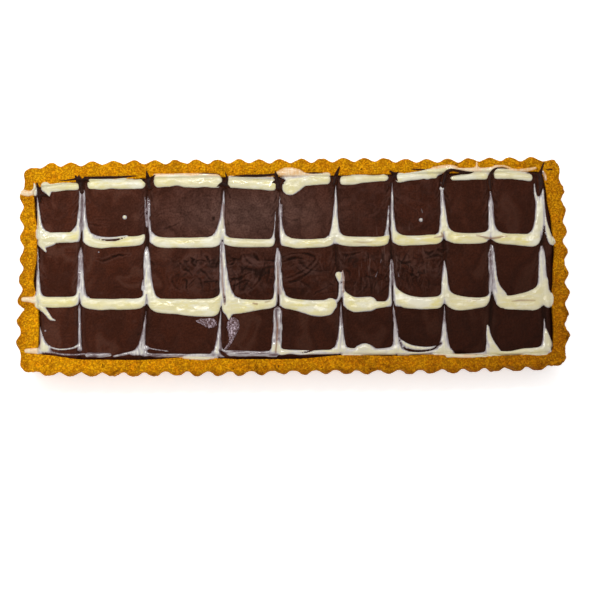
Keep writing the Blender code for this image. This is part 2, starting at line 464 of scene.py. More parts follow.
# Creases that the spatula left, mostly in the middle row: runs of (x, y, half width)
CREASES = [
    [(-125.9, 5.6, 0.3), (-119.5, 4.9, 0.9), (-113.1, 7.8, 0.7), (-103.5, 8.2, 0.3)],
    [(-72.8, 3.7, 0.3), (-69.8, 0.7, 0.9), (-68.9, -1.7, 1.1), (-65.9, -3.2, 0.6), (-63.5, -5.6, 0.3)],
    [(-65.9, 7.1, 0.3), (-63.2, 4.6, 0.8), (-64.4, 2.7, 0.6), (-60.5, -0.2, 0.5)],
    [(-56.5, 7.8, 0.4), (-53.6, 4.6, 0.9), (-52.6, 1.7, 0.4)],
    [(-70.8, -10, 0.3), (-69.4, -8.3, 0.7), (-67.2, -9.5, 0.7), (-67.9, -12.5, 0.4), (-66.9, -15.9, 0.3)],
    [(-76.2, -5.6, 0.2), (-76.7, -9, 0.4), (-74.3, -13.4, 0.5), (-70.8, -15.9, 0.2)],
    [(-79.6, -3, 0.2), (-79.4, -9.5, 0.3), (-76.4, -14.6, 0.2)],
    [(-59.5, -1.2, 0.3), (-55.6, -4.6, 0.6), (-51.7, -8, 0.6), (-49.4, -6.4, 0.3)],
    [(-62.5, -5.1, 0.2), (-58.8, -8.6, 0.5), (-57.6, -13.9, 0.3)],
    [(-41.3, -7.6, 0.5), (-37.9, -8.6, 0.9), (-33, -7.9, 1), (-30, -5.6, 0.6), (-26.1, -4.3, 0.3)],
    [(-39.9, 5.6, 0.3), (-36.9, 4.4, 0.7), (-37.9, 1.7, 0.5), (-40.9, 0.7, 0.3)],
    [(-35, 0.9, 0.3), (-32, -1.8, 0.5), (-31.3, -5.1, 0.4)],
    [(-31.4, 8.4, 0.3), (-29.4, 4.4, 0.5), (-26, 1.6, 0.5), (-22.6, 1.2, 0.2)],
    [(-25.4, 9, 0.3), (-22.4, 5.2, 1.1), (-20.2, 2.7, 0.4)],
    [(-16.8, 7.6, 0.3), (-17.8, -0.2, 0.5), (-20.2, -7.1, 0.5), (-24.1, -12.9, 0.4), (-29.1, -16.8, 0.2)],
    [(-14.3, 2.7, 0.2), (-15.3, -5.1, 0.4), (-17.3, -12, 0.2)],
    [(-39.9, -13.9, 0.2), (-34, -11, 0.5), (-28.1, -9.4, 0.3), (-24.4, -10.4, 0.2)],
    [(-27.3, -6.6, 0.2), (-25.1, -4.9, 0.4), (-23, -6.6, 0.4), (-24.4, -8.8, 0.2)],
    [(-6.4, -12.4, 0.5), (1.5, -9.8, 0.9), (10.3, -5, 0.5), (16.2, 1, 0.4), (17.6, 6.2, 0.3)],
    [(-6.4, -9.2, 0.3), (-0.5, -7.2, 0.4), (6.4, -4, 0.3), (12.3, 0.6, 0.3), (14.7, 4.2, 0.4),
     (12.3, 6.8, 1.1), (6.4, 8.2, 0.5), (-0.5, 7.3, 0.3), (-6, 5.6, 0.2)],
    [(-6.4, 2.2, 0.4), (-1.5, 4.2, 0.7), (4.4, 5, 0.5), (8.3, 3.7, 0.2)],
    [(-2, -0.6, 0.2), (4, 1.4, 0.4), (9.4, 1.2, 0.2)],
    [(13.2, -19.6, 0.2), (17.2, -16.6, 0.5), (22, -15.2, 0.3)],
    [(31.4, 7.6, 0.3), (34.9, 6.2, 0.8), (39.8, 7.3, 0.5), (44.7, 8.6, 0.3)],
    [(33, -2, 0.2), (36.4, -5, 0.5), (36, -9, 0.3)],
    [(43.4, -3, 0.2), (44, -9, 0.5), (43.2, -15, 0.2)],
    [(47, -4, 0.2), (47.6, -11, 0.4), (46.8, -17, 0.2)],
    [(52, 3, 0.3), (55, -2.6, 0.6), (53.6, -8, 0.3)],
    [(67.3, 3.6, 0.3), (71, 0.6, 0.9), (75, 1.4, 0.4), (77.4, -1.4, 0.3)],
    [(72.4, -5, 0.2), (76.2, -7, 0.6), (80.6, -5.4, 0.4), (80, -1.8, 0.3), (76.8, -1.8, 0.2)],
    [(84, -8, 0.2), (87.4, -11.4, 0.6), (87, -15.4, 0.3)],
    [(84, 8.6, 0.5), (87.4, 6.6, 1), (90.4, 8.4, 0.5)],
    [(84.4, 3, 0.3), (88.4, 4.4, 0.6), (92.4, 5.4, 1.1), (96.4, 3.8, 0.6)],
    [(93, 9.4, 0.5), (96.4, 8, 1), (99.4, 9.6, 0.4)],
    [(-88, 33, 0.2), (-80, 36, 0.4), (-70, 35, 0.3), (-62, 28, 0.2)],
    [(-86, 24, 0.2), (-76, 27, 0.3), (-68, 31.4, 0.3)],
    [(-136, 30, 0.2), (-128, 28.4, 0.4), (-118, 27.6, 0.2)],
    [(-126, 31.6, 0.2), (-118, 31.4, 0.2)],
]


def swirl_relief(x, y):
    """Curling marks left by the spatula: ridges of a pattern that is itself pushed about."""
    push = 6.0
    u = x + push * rough_noise(x, y, 18, 30, 2)
    v = y + push * rough_noise(x, y, 18, 33, 2)
    angle = 2.6 * soft_noise(x, y, 34, 36)
    across = u * np.cos(angle) + v * np.sin(angle)
    ahead = v * np.cos(angle) - u * np.sin(angle)
    ridges = rough_noise(across, ahead * 0.28, 4.0, 40, 2)
    scored = soft_step(-0.25, 0.3, soft_noise(x, y, 13, 44))
    furrow = -1.1 * hump(ridges, 0.09)
    lip = 0.5 * hump(ridges - 0.20, 0.08)
    return 0.45 * ridges + scored * (furrow + lip)


def barbs():
    """Fine slanting furrows beside each stroke, where the knife pulled the skin of the ganache along."""
    rng = np.random.default_rng(SEED + 7)
    runs = []
    for number in range(len(STROKES)):
        for side in (-1, 1):
            for top in (51.0, 47.0, 43.0, 38.5, 34.0, 7.0, 2.0, -4.0):
                top += rng.uniform(-1.5, 1.5)
                start = stroke_x(number, top) + side * rng.uniform(0.8, 1.8)
                reach = rng.uniform(2.2, 4.2)
                fall = rng.uniform(6.0, 9.0)
                width = rng.uniform(0.12, 0.42)
                runs.append([(start, top, width), (start + side * reach * 0.35, top - fall * 0.5, width),
                             (start + side * reach, top - fall, width)])
    return runs


def crease_relief(x, y):
    """Furrows with a raised lip, along the spatula's creases; the material paints shade into the furrows and
    a highlight onto the lips.
    """
    relief = np.zeros(x.shape)
    patchy = 0.4 + 0.6 * soft_step(-0.4, 0.3, rough_noise(x, y, 2.4, 57, 2))
    x = x + 0.6 * rough_noise(x, y, 2.2, 58, 2)
    y = y + 0.6 * rough_noise(x, y, 2.2, 59, 2)
    for crease in CREASES + barbs():
        run = stroke_points(crease, 1.2)
        strength = min(1.0, 0.15 + 1.2 * run[:, 2].max())
        taper = np.sin(np.pi * np.linspace(0.06, 0.94, len(run))) ** 0.6
        run[:, 2] = 0.7 * run[:, 2] * taper - 0.5 * (1 - taper) - 0.15
        low, high = run[:, :2].min(0) - 5, run[:, :2].max(0) + 5
        near = (x > low[0]) & (x < high[0]) & (y > low[1]) & (y < high[1])
        depth = run_depth(x[near], y[near], run)
        furrow = -1.15 * hump(np.minimum(depth, 0), 0.42) * patchy[near]
        lip = 0.6 * hump(depth + 1.1, 0.4)
        relief[near] += strength * (furrow + lip)
    return relief


def spatula_marks(x, y):
    """How strongly the spatula marked each place: most in the middle row, less in the far one."""
    middle_row = soft_step(-22, -14, y) * (1 - soft_step(5, 10, y))
    right_of_centre = soft_step(-84, -64, x) * (1 - soft_step(92, 98, x))
    far_row = soft_step(18, 24, y) * soft_step(-92, -84, x) * (1 - soft_step(88, 94, x))
    return np.maximum(0.12 + 0.88 * middle_row * right_of_centre, 0.34 * far_row)


def ganache_shape(x, y):
    """Height of the ganache over its own level, and the looks that go with it."""
    marked = spatula_marks(x, y)
    relief = 0.55 * marked * swirl_relief(x, y) + 0.8 * crease_relief(x, y)
    dragged = np.zeros(x.shape)
    for number in range(len(STROKES)):
        off = x - stroke_x(number, y)
        wander = 0.6 + 0.4 * soft_noise(y, y * 0 + number * 37.0, 9, 50)
        relief = relief + wander * (0.40 * hump(np.abs(off) - 2.4, 0.9) - 0.8 * hump(off, 1.0))
        dragged = np.maximum(dragged, hump(off, 3.6))
    for *oval, lift in PITS:
        relief = relief + lift * spot(x, y, *oval)
    # A moat along the crust: the ganache dips here, and the material paints a shadow into the dip.
    moat_dip_and_shade = hump(np.maximum(to_inner_edge(x, y), 0), 1.5) * (0.75 + 0.25 * soft_noise(x, y, 9, 47))
    under_top_line = y > 45
    moat_dip_and_shade = moat_dip_and_shade * np.where(under_top_line, 0.3, 1.0)
    waves = 0.22 * rough_noise(x, y, 42, 20, 2) + 0.05 * rough_noise(x, y, 7, 24, 2)
    height = waves + 0.42 * relief - 1.5 * moat_dip_and_shade
    return height, {"relief": relief, "marked": marked, "dragged": dragged, "moat_dip_and_shade": moat_dip_and_shade,
                    "painted_sheen_patch": spot(x, y, *PAINTED_SHEEN_PATCH), "scratched": spot(x, y, *SCRATCHED)}


def make_ganache(material):
    """The set filling: a fine net shaped by the spatula and the knife, with its sides let into the case."""
    half_x, half_y = CASE_HIGH.x - GANACHE_INSET, CASE_HIGH.y - GANACHE_INSET
    across, up = int(2 * half_x / GANACHE_STEP), int(2 * half_y / GANACHE_STEP)
    deselect_all()
    bpy.ops.mesh.primitive_grid_add(x_subdivisions=across, y_subdivisions=up, size=2.0)
    ganache = name_new_piece("dark_ganache")
    unit = read_points(ganache) * MM
    x, y = unit[:, 0] * half_x, unit[:, 1] * half_y
    height, looks = ganache_shape(x, y)
    write_points(ganache, np.column_stack([x, y, LEVEL + height]))
    for name, values in looks.items():
        store(ganache, name, values)
    select_only(ganache, np.abs(unit[:, :2]).max(1) > 0.9999)
    bpy.ops.mesh.extrude_region_move(TRANSFORM_OT_translate={"value": (0, 0, -GANACHE_SIDES * MM)})
    bpy.ops.mesh.edge_face_add()
    bpy.ops.object.mode_set(mode="OBJECT")
    return finish_piece(ganache, material, "ganache", "ganache_filling")


# ---------------------------------------------------------------- icing shapes

# How far inside a shape each point lies is its depth: positive inside, zero on the outline.


def blend_max(a, b, soft):
    """The larger of two depths, rounded over where they meet; and how much of it is b."""
    share = np.clip(0.5 + 0.5 * (b - a) / soft, 0, 1)
    return a + (b - a) * share + soft * share * (1 - share), share


def blend_min(a, b, soft):
    value, _ = blend_max(-a, -b, soft)
    return -value


def true_depth(depth, step):
    """Turn any value that is zero on an outline into a distance from it."""
    by_x, by_y = np.gradient(depth, step)
    return depth / np.maximum(np.hypot(by_x, by_y), 1.0)


class Layer:
    """A patch of icing or chocolate being drawn: its depth and looks on an even net of points."""

    def __init__(self, low, high, step):
        self.step = step
        self.columns = int(round((high[0] - low[0]) / step)) + 1
        self.rows = int(round((high[1] - low[1]) / step)) + 1
        xs = low[0] + np.arange(self.columns) * step
        ys = low[1] + np.arange(self.rows) * step
        self.x, self.y = np.meshgrid(xs, ys, indexing="ij")
        self.depth = np.full(self.x.shape, -9.0)
        self.cover, self.cocoa, self.along = np.zeros((3, *self.x.shape))

    def window(self, low_x, high_x, low_y, high_y):
        """The part of the net inside a rectangle."""
        i0 = max(0, int((low_x - self.x[0, 0]) / self.step))
        i1 = min(self.columns, int((high_x - self.x[0, 0]) / self.step) + 2)
        j0 = max(0, int((low_y - self.y[0, 0]) / self.step))
        j1 = min(self.rows, int((high_y - self.y[0, 0]) / self.step) + 2)
        return slice(i0, max(i0, i1)), slice(j0, max(j0, j1))

    def add(self, part, depth, cover, along=0.0, soft=1.2):
        """Join a shape to what is drawn so far."""
        self.depth[part], share = blend_max(self.depth[part], depth, soft)
        self.cover[part] = self.cover[part] * (1 - share) + cover * share
        self.along[part] = self.along[part] * (1 - share) + along * share

    def cut(self, part, depth, soft=0.6):
        """Take a shape away."""
        self.depth[part] = blend_min(self.depth[part], -depth, soft)


def stroke_points(points, spacing=0.6):
    """A smooth run through a few (x, y, half width) points."""
    points = np.array(points, float)
    if len(points) == 1:
        return np.repeat(points, 2, 0)
    ends = np.vstack([2 * points[0] - points[1], points, 2 * points[-1] - points[-2]])
    run = []
    for i in range(len(points) - 1):
        p0, p1, p2, p3 = ends[i : i + 4]
        count = max(2, int(np.linalg.norm((p2 - p1)[:2]) / spacing))
        t = (np.arange(count) / count)[:, None]
        run.append(0.5 * (2 * p1 + (p2 - p0) * t + (2 * p0 - 5 * p1 + 4 * p2 - p3) * t**2
                          + (3 * p1 - p0 - 3 * p2 + p3) * t**3))
    run.append(points[-1:])
    return np.vstack(run)


def run_depth(x, y, run):
    """How far inside a run of discs each point lies."""
    depth = np.full(x.shape, -99.0)
    for a, b in zip(run, run[1:]):
        leg = b[:2] - a[:2]
        t = ((x - a[0]) * leg[0] + (y - a[1]) * leg[1]) / max(leg @ leg, 1e-6)
        t = np.clip(t, 0, 1)
        away = np.hypot(x - a[0] - leg[0] * t, y - a[1] - leg[1] * t)
        depth = np.maximum(depth, a[2] + (b[2] - a[2]) * t - away)
    return depth


def stroke_depth(layer, points):
    """Depth of a tapering stroke, and the part of the net that it needs."""
    run = stroke_points(points)
    widest = run[:, 2].max() + 3
    low, high = run.min(0) - widest, run.max(0) + widest
    part = layer.window(low[0], high[0], low[1], high[1])
    return part, run_depth(layer.x[part], layer.y[part], run)


def draw_cell(layer, number, stretch):
    """One stretch of a line between two strokes, sagging away from both."""
    part = layer.window(STROKES[number][1] - 6, STROKES[number + 1][1] + 6, *layer.y[0, [0, -1]])
    x, y = layer.x[part], layer.y[part]
    left = x - stroke_x(number, y)
    right = stroke_x(number + 1, y) - x
    share = soft_step(0.1, 0.9, left / (left + right))
    top_left, top_right, bottom_left, bottom_right = stretch["edges"]
    wave = stretch["wave"] * soft_noise(x, y * 0 + number * 31.0, 7, 60)
    top = top_left + (top_right - top_left) * share + wave
    ripple = 1.4 * stretch["wave"] * soft_noise(x, y * 0 + number, 6, 61)
    bottom = bottom_left + (bottom_right - bottom_left) * share + ripple
    for away, side in ((left, "left"), (right, "right")):
        pull, width = stretch[side]
        lift, narrow = stretch["low_" + side]
        top = top + pull * np.exp(-np.clip(away, 0, None) / width)
        bottom = bottom + lift * np.exp(-np.clip(away, 0, None) / narrow)
    depth = blend_min(true_depth(top - y, layer.step), true_depth(y - bottom, layer.step), 0.5)
    gap_left, gap_right = stretch["gaps"]
    ends = np.minimum(left - gap_left, right - gap_right)
    layer.add(part, blend_min(depth, ends, stretch["round"]), stretch["cover"], 0.0, 0.9)


def draw_trail(layer, number, base, form):
    """What one stroke of the knife pulled out of a line: wide at the line, thin at its far end."""
    reach = form["reach"]
    widest = form["core"] + 7
    x_mid = stroke_x(number, base)
    part = layer.window(x_mid - widest - 4, x_mid + widest + 4, base - 6, base + reach + 3)
    x, y = layer.x[part], layer.y[part]
    height = y - base
    off = x - stroke_x(number, y) - form["lean"] * np.exp(-np.clip(height, 0, None) / 9)
    log = np.log(reach / np.clip(height, 0.7, reach))
    fade = np.clip((reach - height) / form["tip"], 0, 1) ** 0.5
    ragged = form["ragged"] * rough_noise(x * 2.2, y * 0.35, 1.6, 70 + number, 2)
    wide_left = form["core"] * fade + form["left"] * log + ragged
    wide_right = form["core"] * fade + form["right"] * log + ragged
    depth = np.minimum(true_depth(off + wide_left, layer.step), true_depth(wide_right - off, layer.step))
    depth = np.minimum(depth, (reach - height) * 0.3)
    depth = blend_min(depth, height + form["foot"], 1.5)
    at_base, at_tip = form["cover"]
    cover = at_base + (at_tip - at_base) * np.clip(height / reach * 1.3, 0, 1) ** 0.7
    middle = np.clip(1 - (off / np.maximum(np.minimum(wide_left, wide_right), 0.3)) ** 2, 0, 1)
    cover = np.clip(cover - form["hollow"] * middle * soft_step(2, 7, height), 0, 1)
    layer.add(part, depth, cover, 1.0, 1.4)
    seam = form["seam"] * hump(off, 0.55) * (depth > 0) * (1 - soft_step(0.5, 0.9, height / reach))
    layer.cocoa[part] = np.maximum(layer.cocoa[part], seam)
    if form["split"]:
        split = form["split"] * np.clip(1 - height / form["split_height"], 0, 1) ** 0.6
        layer.cut(part, split - np.abs(off) - 0.02, 0.4)


def draw_notch(layer, number, bottom, notch):
    """The dark wedge of chocolate that the knife drags up into a line from below."""
    tall, wide = notch
    if not tall:
        return
    x_mid = stroke_x(number, bottom)
    part = layer.window(x_mid - 9, x_mid + 9, bottom - 5, bottom + tall + 3)
    x, y = layer.x[part], layer.y[part]
    height = np.clip(y - bottom, 0.25, None)
    off = np.abs(x - stroke_x(number, y))
    opening = wide * np.log(np.maximum(tall / height, 1e-3))
    layer.cut(part, true_depth(opening - off, layer.step), 0.7)


def squares_inside(layer):
    """The net's squares that touch a layer's shape, none joined only at a corner, and their points."""
    inside = layer.depth > 0
    squares = inside[:-1, :-1] | inside[1:, :-1] | inside[:-1, 1:] | inside[1:, 1:]
    squares[:-1, :-1] |= squares[1:, :-1] & squares[:-1, 1:] & ~squares[:-1, :-1] & ~squares[1:, 1:]
    squares[1:, :-1] |= squares[:-1, :-1] & squares[1:, 1:] & ~squares[1:, :-1] & ~squares[:-1, 1:]
    used = np.zeros(inside.shape, bool)
    for columns in (slice(0, -1), slice(1, None)):
        for rows in (slice(0, -1), slice(1, None)):
            used[columns, rows] |= squares
    return squares, used


def drawn_to_outline(layer, used):
    """The net's points, with those just outside the shape moved onto its outline."""
    by_x, by_y = np.gradient(layer.depth, layer.step)
    steep = np.maximum(by_x**2 + by_y**2, 0.25)
    outside = np.minimum(layer.depth, 0) * used
    pull = np.clip(outside / steep, -0.9 * layer.step, 0)
    return layer.x - pull * by_x, layer.y - pull * by_y


def layer_looks(layer, x, y, height, shoulder, roughen):
    """How thick a layer is at each point, and what its material has to know."""
    share = np.clip(layer.depth / shoulder, 0, 1)
    dome = np.sqrt(1 - (1 - share) ** 2)
    sway = 1 + 0.32 * rough_noise(layer.x * 0.7, layer.y, 4.4, 86, 2)
    grains = roughen * rough_noise(layer.x, layer.y, 1.1, 90, 2)
    thick = dome * (height * sway * (0.22 + 0.78 * layer.cover) + grains) + THINNEST
    rim = 0.35 + 0.85 * layer.along
    thinned = 1 - (0.14 + 0.46 * layer.along) * (1 - np.clip(layer.depth / rim, 0, 1))
    return {"thick": thick, "cover": layer.cover * thinned, "cocoa": layer.cocoa, "along": layer.along,
            "depth": share, "on_crust": 1 - soft_step(-0.6, 1.2, to_inner_edge(x, y))}


def make_net(layer, name, x, y, looks):
    """A flat net with the layer's points and looks, and the column and row of each of its points."""
    deselect_all()
    columns, rows = layer.columns - 1, layer.rows - 1
    bpy.ops.mesh.primitive_grid_add(x_subdivisions=columns, y_subdivisions=rows, size=2.0)
    net = name_new_piece(name)
    unit = read_points(net) * MM
    i = np.round((unit[:, 0] + 1) / 2 * columns).astype(int)
    j = np.round((unit[:, 1] + 1) / 2 * rows).astype(int)
    write_points(net, np.column_stack([x[i, j], y[i, j], np.zeros(len(i))]))
    for look, values in looks.items():
        store(net, look, values[i, j])
    return net, i, j


def lay(layer, name, ground, height=ICING_HEIGHT, shoulder=ICING_SHOULDER, roughen=0.0):
    """Make a layer's shape into a closed piece that lies on what is under it."""
    squares, used = squares_inside(layer)
    x, y = drawn_to_outline(layer, used)
    looks = layer_looks(layer, x, y, height, shoulder, roughen)
    piece, i, j = make_net(layer, name, x, y, {**looks, "under": ground(x, y, used)})

    corner = np.empty(len(piece.data.loops), int)
    piece.data.loops.foreach_get("vertex_index", corner)
    corner = corner.reshape(-1, 4)
    select_only(piece, ~squares[i[corner].min(1), j[corner].min(1)], "FACE")
    bpy.ops.mesh.delete(type="FACE")
    bpy.ops.mesh.select_all(action="SELECT")
    bpy.ops.mesh.extrude_region_move(TRANSFORM_OT_translate={"value": (0, 0, LIFT * MM)})
    bpy.ops.mesh.select_all(action="SELECT")
    bpy.ops.mesh.normals_make_consistent(inside=False)
    bpy.ops.object.mode_set(mode="OBJECT")
    points = read_points(piece)
    under = recall(piece, "under")
    top = under + recall(piece, "thick")
    points[:, 2] = np.where(points[:, 2] > LIFT / 2, top, under - ICING_SINK)
    write_points(piece, points)
    return piece


class Ground:
    """Finds how high the crust or the ganache is under a point."""

    def __init__(self, *pieces):
        self.trees = []
        for piece in pieces:
            points = [v.co[:] for v in piece.data.vertices]
            polygons = [p.vertices[:] for p in piece.data.polygons]
            self.trees.append(BVHTree.FromPolygons(points, polygons))

    def __call__(self, x, y, wanted):
        """Heights at the wanted points, eased so that what lies there bridges small dips."""
        heights = np.full(x.shape, LEVEL)
        down = Vector((0, 0, -1))
        for i, j in zip(*np.nonzero(wanted)):
            start = Vector((x[i, j], y[i, j], 2 * RIM)) * MM
            hits = [tree.ray_cast(start, down)[0] for tree in self.trees]
            heights[i, j] = max((hit.z for hit in hits if hit), default=LEVEL * MM) / MM
        eased = heights
        for _ in range(2):
            padded = np.pad(eased, 1, mode="edge")
            beside = padded[:-2, 1:-1] + padded[2:, 1:-1] + padded[1:-1, :-2] + padded[1:-1, 2:]
            eased = (beside + 2 * eased) / 6
        return np.where(wanted, np.maximum(eased, heights - ICING_CUTS_IN), heights)


# ---------------------------------------------------------------- the four lines

CELL = dict(gaps=(0, 0), left=(4, 2.6), right=(3.4, 2.2), low_left=(5, 2.8), low_right=(4.6, 2.2),
            round=2, cover=1, wave=0.22, drawn=True)
FLAT = dict(left=(0, 1), right=(0, 1), low_left=(0, 1), low_right=(0, 1), wave=0.4)
TRAIL = dict(tip=10, foot=4, cover=(1, 0.6), hollow=0, ragged=0.15, lean=0, split=0, split_height=8, seam=0)


def cell(*edges, **changes):
    """Top left, top right, bottom left and bottom right edge of a stretch, and what is special about it."""
    return dict(CELL, edges=edges, **changes)


def flat_cell(*edges, **changes):
    """A stretch that doesn't rise towards the strokes."""
    return dict(CELL, edges=edges, **{**FLAT, **changes})


def trail(reach, core, left, right, **changes):
    """How far a stroke pulls a line, its half width, its spread to left and right, and what is special."""
    return dict(TRAIL, reach=reach, core=core, left=left, right=right, **changes)


UPPER_CELLS = [
    cell(23.3, 23.3, 16.5, 16.4, gaps=(0.2, 0.6), left=(3, 3), low_left=(1, 2), low_right=(4, 2)),
    cell(19.2, 20.4, 12.6, 14, gaps=(0.6, 1.2), left=(8, 3.4), low_left=(7, 3.6)),
    cell(19, 19, 12.3, 12.4, gaps=(2.6, 0.5), left=(6, 4), low_left=(7, 3.8)),
    cell(18, 17.4, 12.2, 12, gaps=(0.6, 2), right=(2.4, 1.8)),
    cell(16.8, 17.2, 10.8, 11.6, gaps=(2, 0.2), left=(8, 4.4), low_left=(6, 4)),
    cell(18, 18, 11.8, 11.6, gaps=(0.2, 1), left=(6, 3.4)),
    cell(18.3, 18.8, 11.6, 12.4, gaps=(0.8, 0.8), left=(6.5, 3.4), right=(2, 2)),
    cell(19.4, 19.6, 12.8, 12.6, gaps=(0.2, 0.6), left=(7, 4)),
    cell(19, 18.4, 12, 10.2, gaps=(0.4, 0.4), left=(5.5, 3.8), right=(6.5, 3)),
]
UPPER_TRAILS = [
    trail(26, 0.4, 0.35, 1.6, lean=0.6, cover=(1, 0.8)),
    trail(32, 1.8, 0.5, 1.4, tip=3, lean=0.6, cover=(1, 0.75), hollow=0.45, ragged=0.25,
          split=0.5, split_height=9),
    trail(27, 0.4, 0, 0.8, cover=(0.7, 0.3), ragged=0.35, lean=2.2),
    trail(32, 0.5, 1.85, 0.9, lean=-0.6, cover=(1, 0.55), ragged=0.3),
    trail(29, 0.6, 0, 1.3, cover=(0.9, 0.5), ragged=0.45, lean=1.8),
    trail(35, 0.6, 1.15, 1.3, cover=(1, 0.85), ragged=0.1),
    trail(37, 0.5, 0, 1.15, cover=(1, 0.8), ragged=0.2, lean=0.8),
    trail(35, 0.8, 0.75, 1.6, lean=-0.6, cover=(1, 0.85), ragged=0.2),
    trail(30, 1.1, 0.3, 1.1, lean=0.6, cover=(0.95, 0.5), ragged=0.45),
    trail(25, 2.7, 0.9, 0.35, tip=5, cover=(1, 0.95), ragged=0.15, lean=-1.6),
]
UPPER_NOTCHES = [(0, 0), (7.5, 1.1), (9, 1.5), (6.5, 0.9), (9, 1.4), (2.5, 0.9), (7, 0.9), (5, 1.3), (4, 0.8),
                 (6, 0.8)]
UPPER_EXTRAS = [
    (1, [(-160.6, 17, 2.8), (-159, 13.5, 1.3), (-157.5, 11, 0.5)]),  # drip from the first stretch
    (1, [(-158.4, 15.8, 2.2), (-156, 15.6, 1.6), (-152.5, 16.2, 0.8)]),
    (0.8, [(-136.4, 36.5, 0.5), (-137.2, 28.5, 1), (-139.4, 23.5, 1.8)]),  # second limb left of stroke 2
    (0.55, [(-128, 21.4, 0.5), (-119.5, 19.4, 0.3), (-113, 19.4, 0.3), (-106, 20.6, 0.2)]),
    (0.27, [(-94.4, 46, 0.3), (-94, 34, 0.4), (-93, 27, 0.7)]),  # fine threads at stroke 3
    (0.27, [(-91.2, 44, 0.3), (-91.4, 34, 0.4)]),
    (0.25, [(-6, 40, 0.3), (-6.4, 33, 0.4)]),
    (0.7, [(-12.2, 17.2, 1), (-11.4, 21, 0.5), (-10.8, 27, 0.3), (-10.4, 35, 0.2)]),  # horn
    (0.6, [(62.6, 38, 0.3), (62, 30, 0.6), (61.4, 23.5, 0.9), (60.6, 20, 1.1)]),  # left limb, stroke 7
    (0.8, [(95.9, 49.3, 0.3), (97, 49.3, 0.8), (98.2, 49.3, 0.3)]),  # star at stroke 8
    (0.85, [(157, 51.5, 0.3), (157.3, 45.2, 0.8), (158.8, 39, 1.4)]),  # the two prongs at stroke 10
    (0.75, [(162, 51, 0.4), (162, 45, 0.8), (161, 38, 1.2)]),
    (0.95, [(162.6, 47, 0.3), (162.8, 36, 0.4), (163.2, 27, 0.9), (164.6, 19.4, 1.6),
           (166.2, 14, 2.1), (167, 12.8, 1.8)]),  # right-hand limb
    (1, [(-107.3, 32.9, 1.4)]),  # drops
    (0.8, [(83.1, 28.7, 1.3)]),
    (0.4, [(-123.7, 10.2, 0.5)]),
    (0.15, [(83.4, 36.4, 0.1), (84.3, 33.6, 0.4)]),
]
UPPER_CUTS = [
    [(-127, 19.4, 0.1), (-120.5, 18.1, 0.4), (-113.5, 18, 0.7), (-106.5, 19.6, 0.2)],  # lens of chocolate
    [(124, 15.6, 0.2), (128, 13.6, 0.5), (131, 11.8, 0.9), (132.5, 8.5, 1.6)],
    [(162.2, 23.5, 0.25), (161.4, 17, 0.8), (160.8, 7, 1.8)],
]
UPPER_COCOA = [
    (0.5, [(39.5, 14.6, 0.1), (45, 14.2, 0.35), (51, 14.4, 0.1)]),
    (0.9, [(118.5, 17.8, 0.2), (128, 15.9, 0.5), (138, 17.1, 0.2)]),
    (0.9, [(95.8, 19.8, 0.3), (96.8, 17.8, 0.5), (91.4, 16.9, 0.2)]),
    (0.35, [(-43.8, 25, 0.5), (-43.6, 40, 0.4)]),
]

LOWER_CELLS = [
    cell(-18.6, -18.8, -25.4, -25.6, gaps=(0, 0.4), left=(2.5, 2.5), low_left=(1, 2)),
    cell(-20.2, -20.2, -27.2, -27.2, gaps=(0.4, 0.4), left=(4.5, 2.6), low_left=(4.5, 3.2)),
    cell(-20.6, -21.2, -29.8, -32.6, gaps=(0.4, 0.4), left=(5, 2.8), right=(5, 2.6), low_left=(6.5, 3.2)),
    cell(-21.4, -22.2, -31.6, -28, gaps=(0.4, 0.4), left=(6, 3.6), right=(2.6, 2.2)),
    cell(-22, -23.2, -28.8, -32.8, gaps=(0.6, 5), left=(7.5, 4.2), right=(2, 4),
         low_right=(3, 3), round=4),
    cell(-22.4, -24.2, -31.2, -28.2, gaps=(2.2, 1.2), left=(12, 4.2), right=(2.6, 2), low_left=(8, 3.4)),
    cell(-22.6, -22.2, -29.6, -29.6, gaps=(1, 0.4), left=(10, 7), right=(4, 2.6), low_left=(8.5, 3.6)),
    cell(-21.8, -22.8, -31.4, -29, gaps=(0.4, 0.6), left=(7, 5), right=(3.6, 3), low_left=(6.5, 4)),
    cell(-22.6, -19.4, -30.6, -31, gaps=(0.8, -3.5), left=(8, 4.4), right=(9, 4.4), low_left=(7, 3.6)),
]
LOWER_TRAILS = [
    trail(34, 0.4, 0.3, 1, cover=(1, 0.5), ragged=0.2, lean=-0.6),
    trail(33, 1.5, 0.4, 1, tip=6, lean=0.4, cover=(0.95, 0.55), hollow=0.2, ragged=0.3),
    trail(34, 1.9, 0.45, 1.25, tip=5, lean=0.8, cover=(1, 0.85), hollow=0.1, ragged=0.25),
    trail(38, 1.4, 0.4, 2, tip=4, lean=2.2, cover=(1, 0.75), ragged=0.3, hollow=0.25,
          seam=0.85, split=0.4, split_height=12),
    trail(34, 1.7, 0.5, 1.2, tip=6, lean=0.5, cover=(0.95, 0.6), ragged=0.45, seam=0.85,
          split=0.4, split_height=10),
    trail(6, 0.3, 0, 0.6, cover=(1, 0.6), lean=1.6),
    trail(27, 1.2, 0.75, 0.9, tip=5, cover=(1, 0.55), ragged=0.3, split=0.35,
          split_height=26),
    trail(24, 1.3, 0.8, 1.1, lean=1, cover=(1, 0.85), ragged=0.15),
    trail(34, 1.8, 0.35, 1.1, tip=7, lean=0.8, cover=(1, 0.5), hollow=0.4, ragged=0.5),
    trail(32, 2, 0.75, 0.9, tip=6, lean=0.4, cover=(1, 0.8), ragged=0.15),
]
LOWER_NOTCHES = [(0, 0), (6.5, 1), (7.5, 1), (7, 0.8), (5, 1.3), (13, 1.2), (8, 0.9), (5, 1.4), (13, 2),
                 (3, 0.6)]
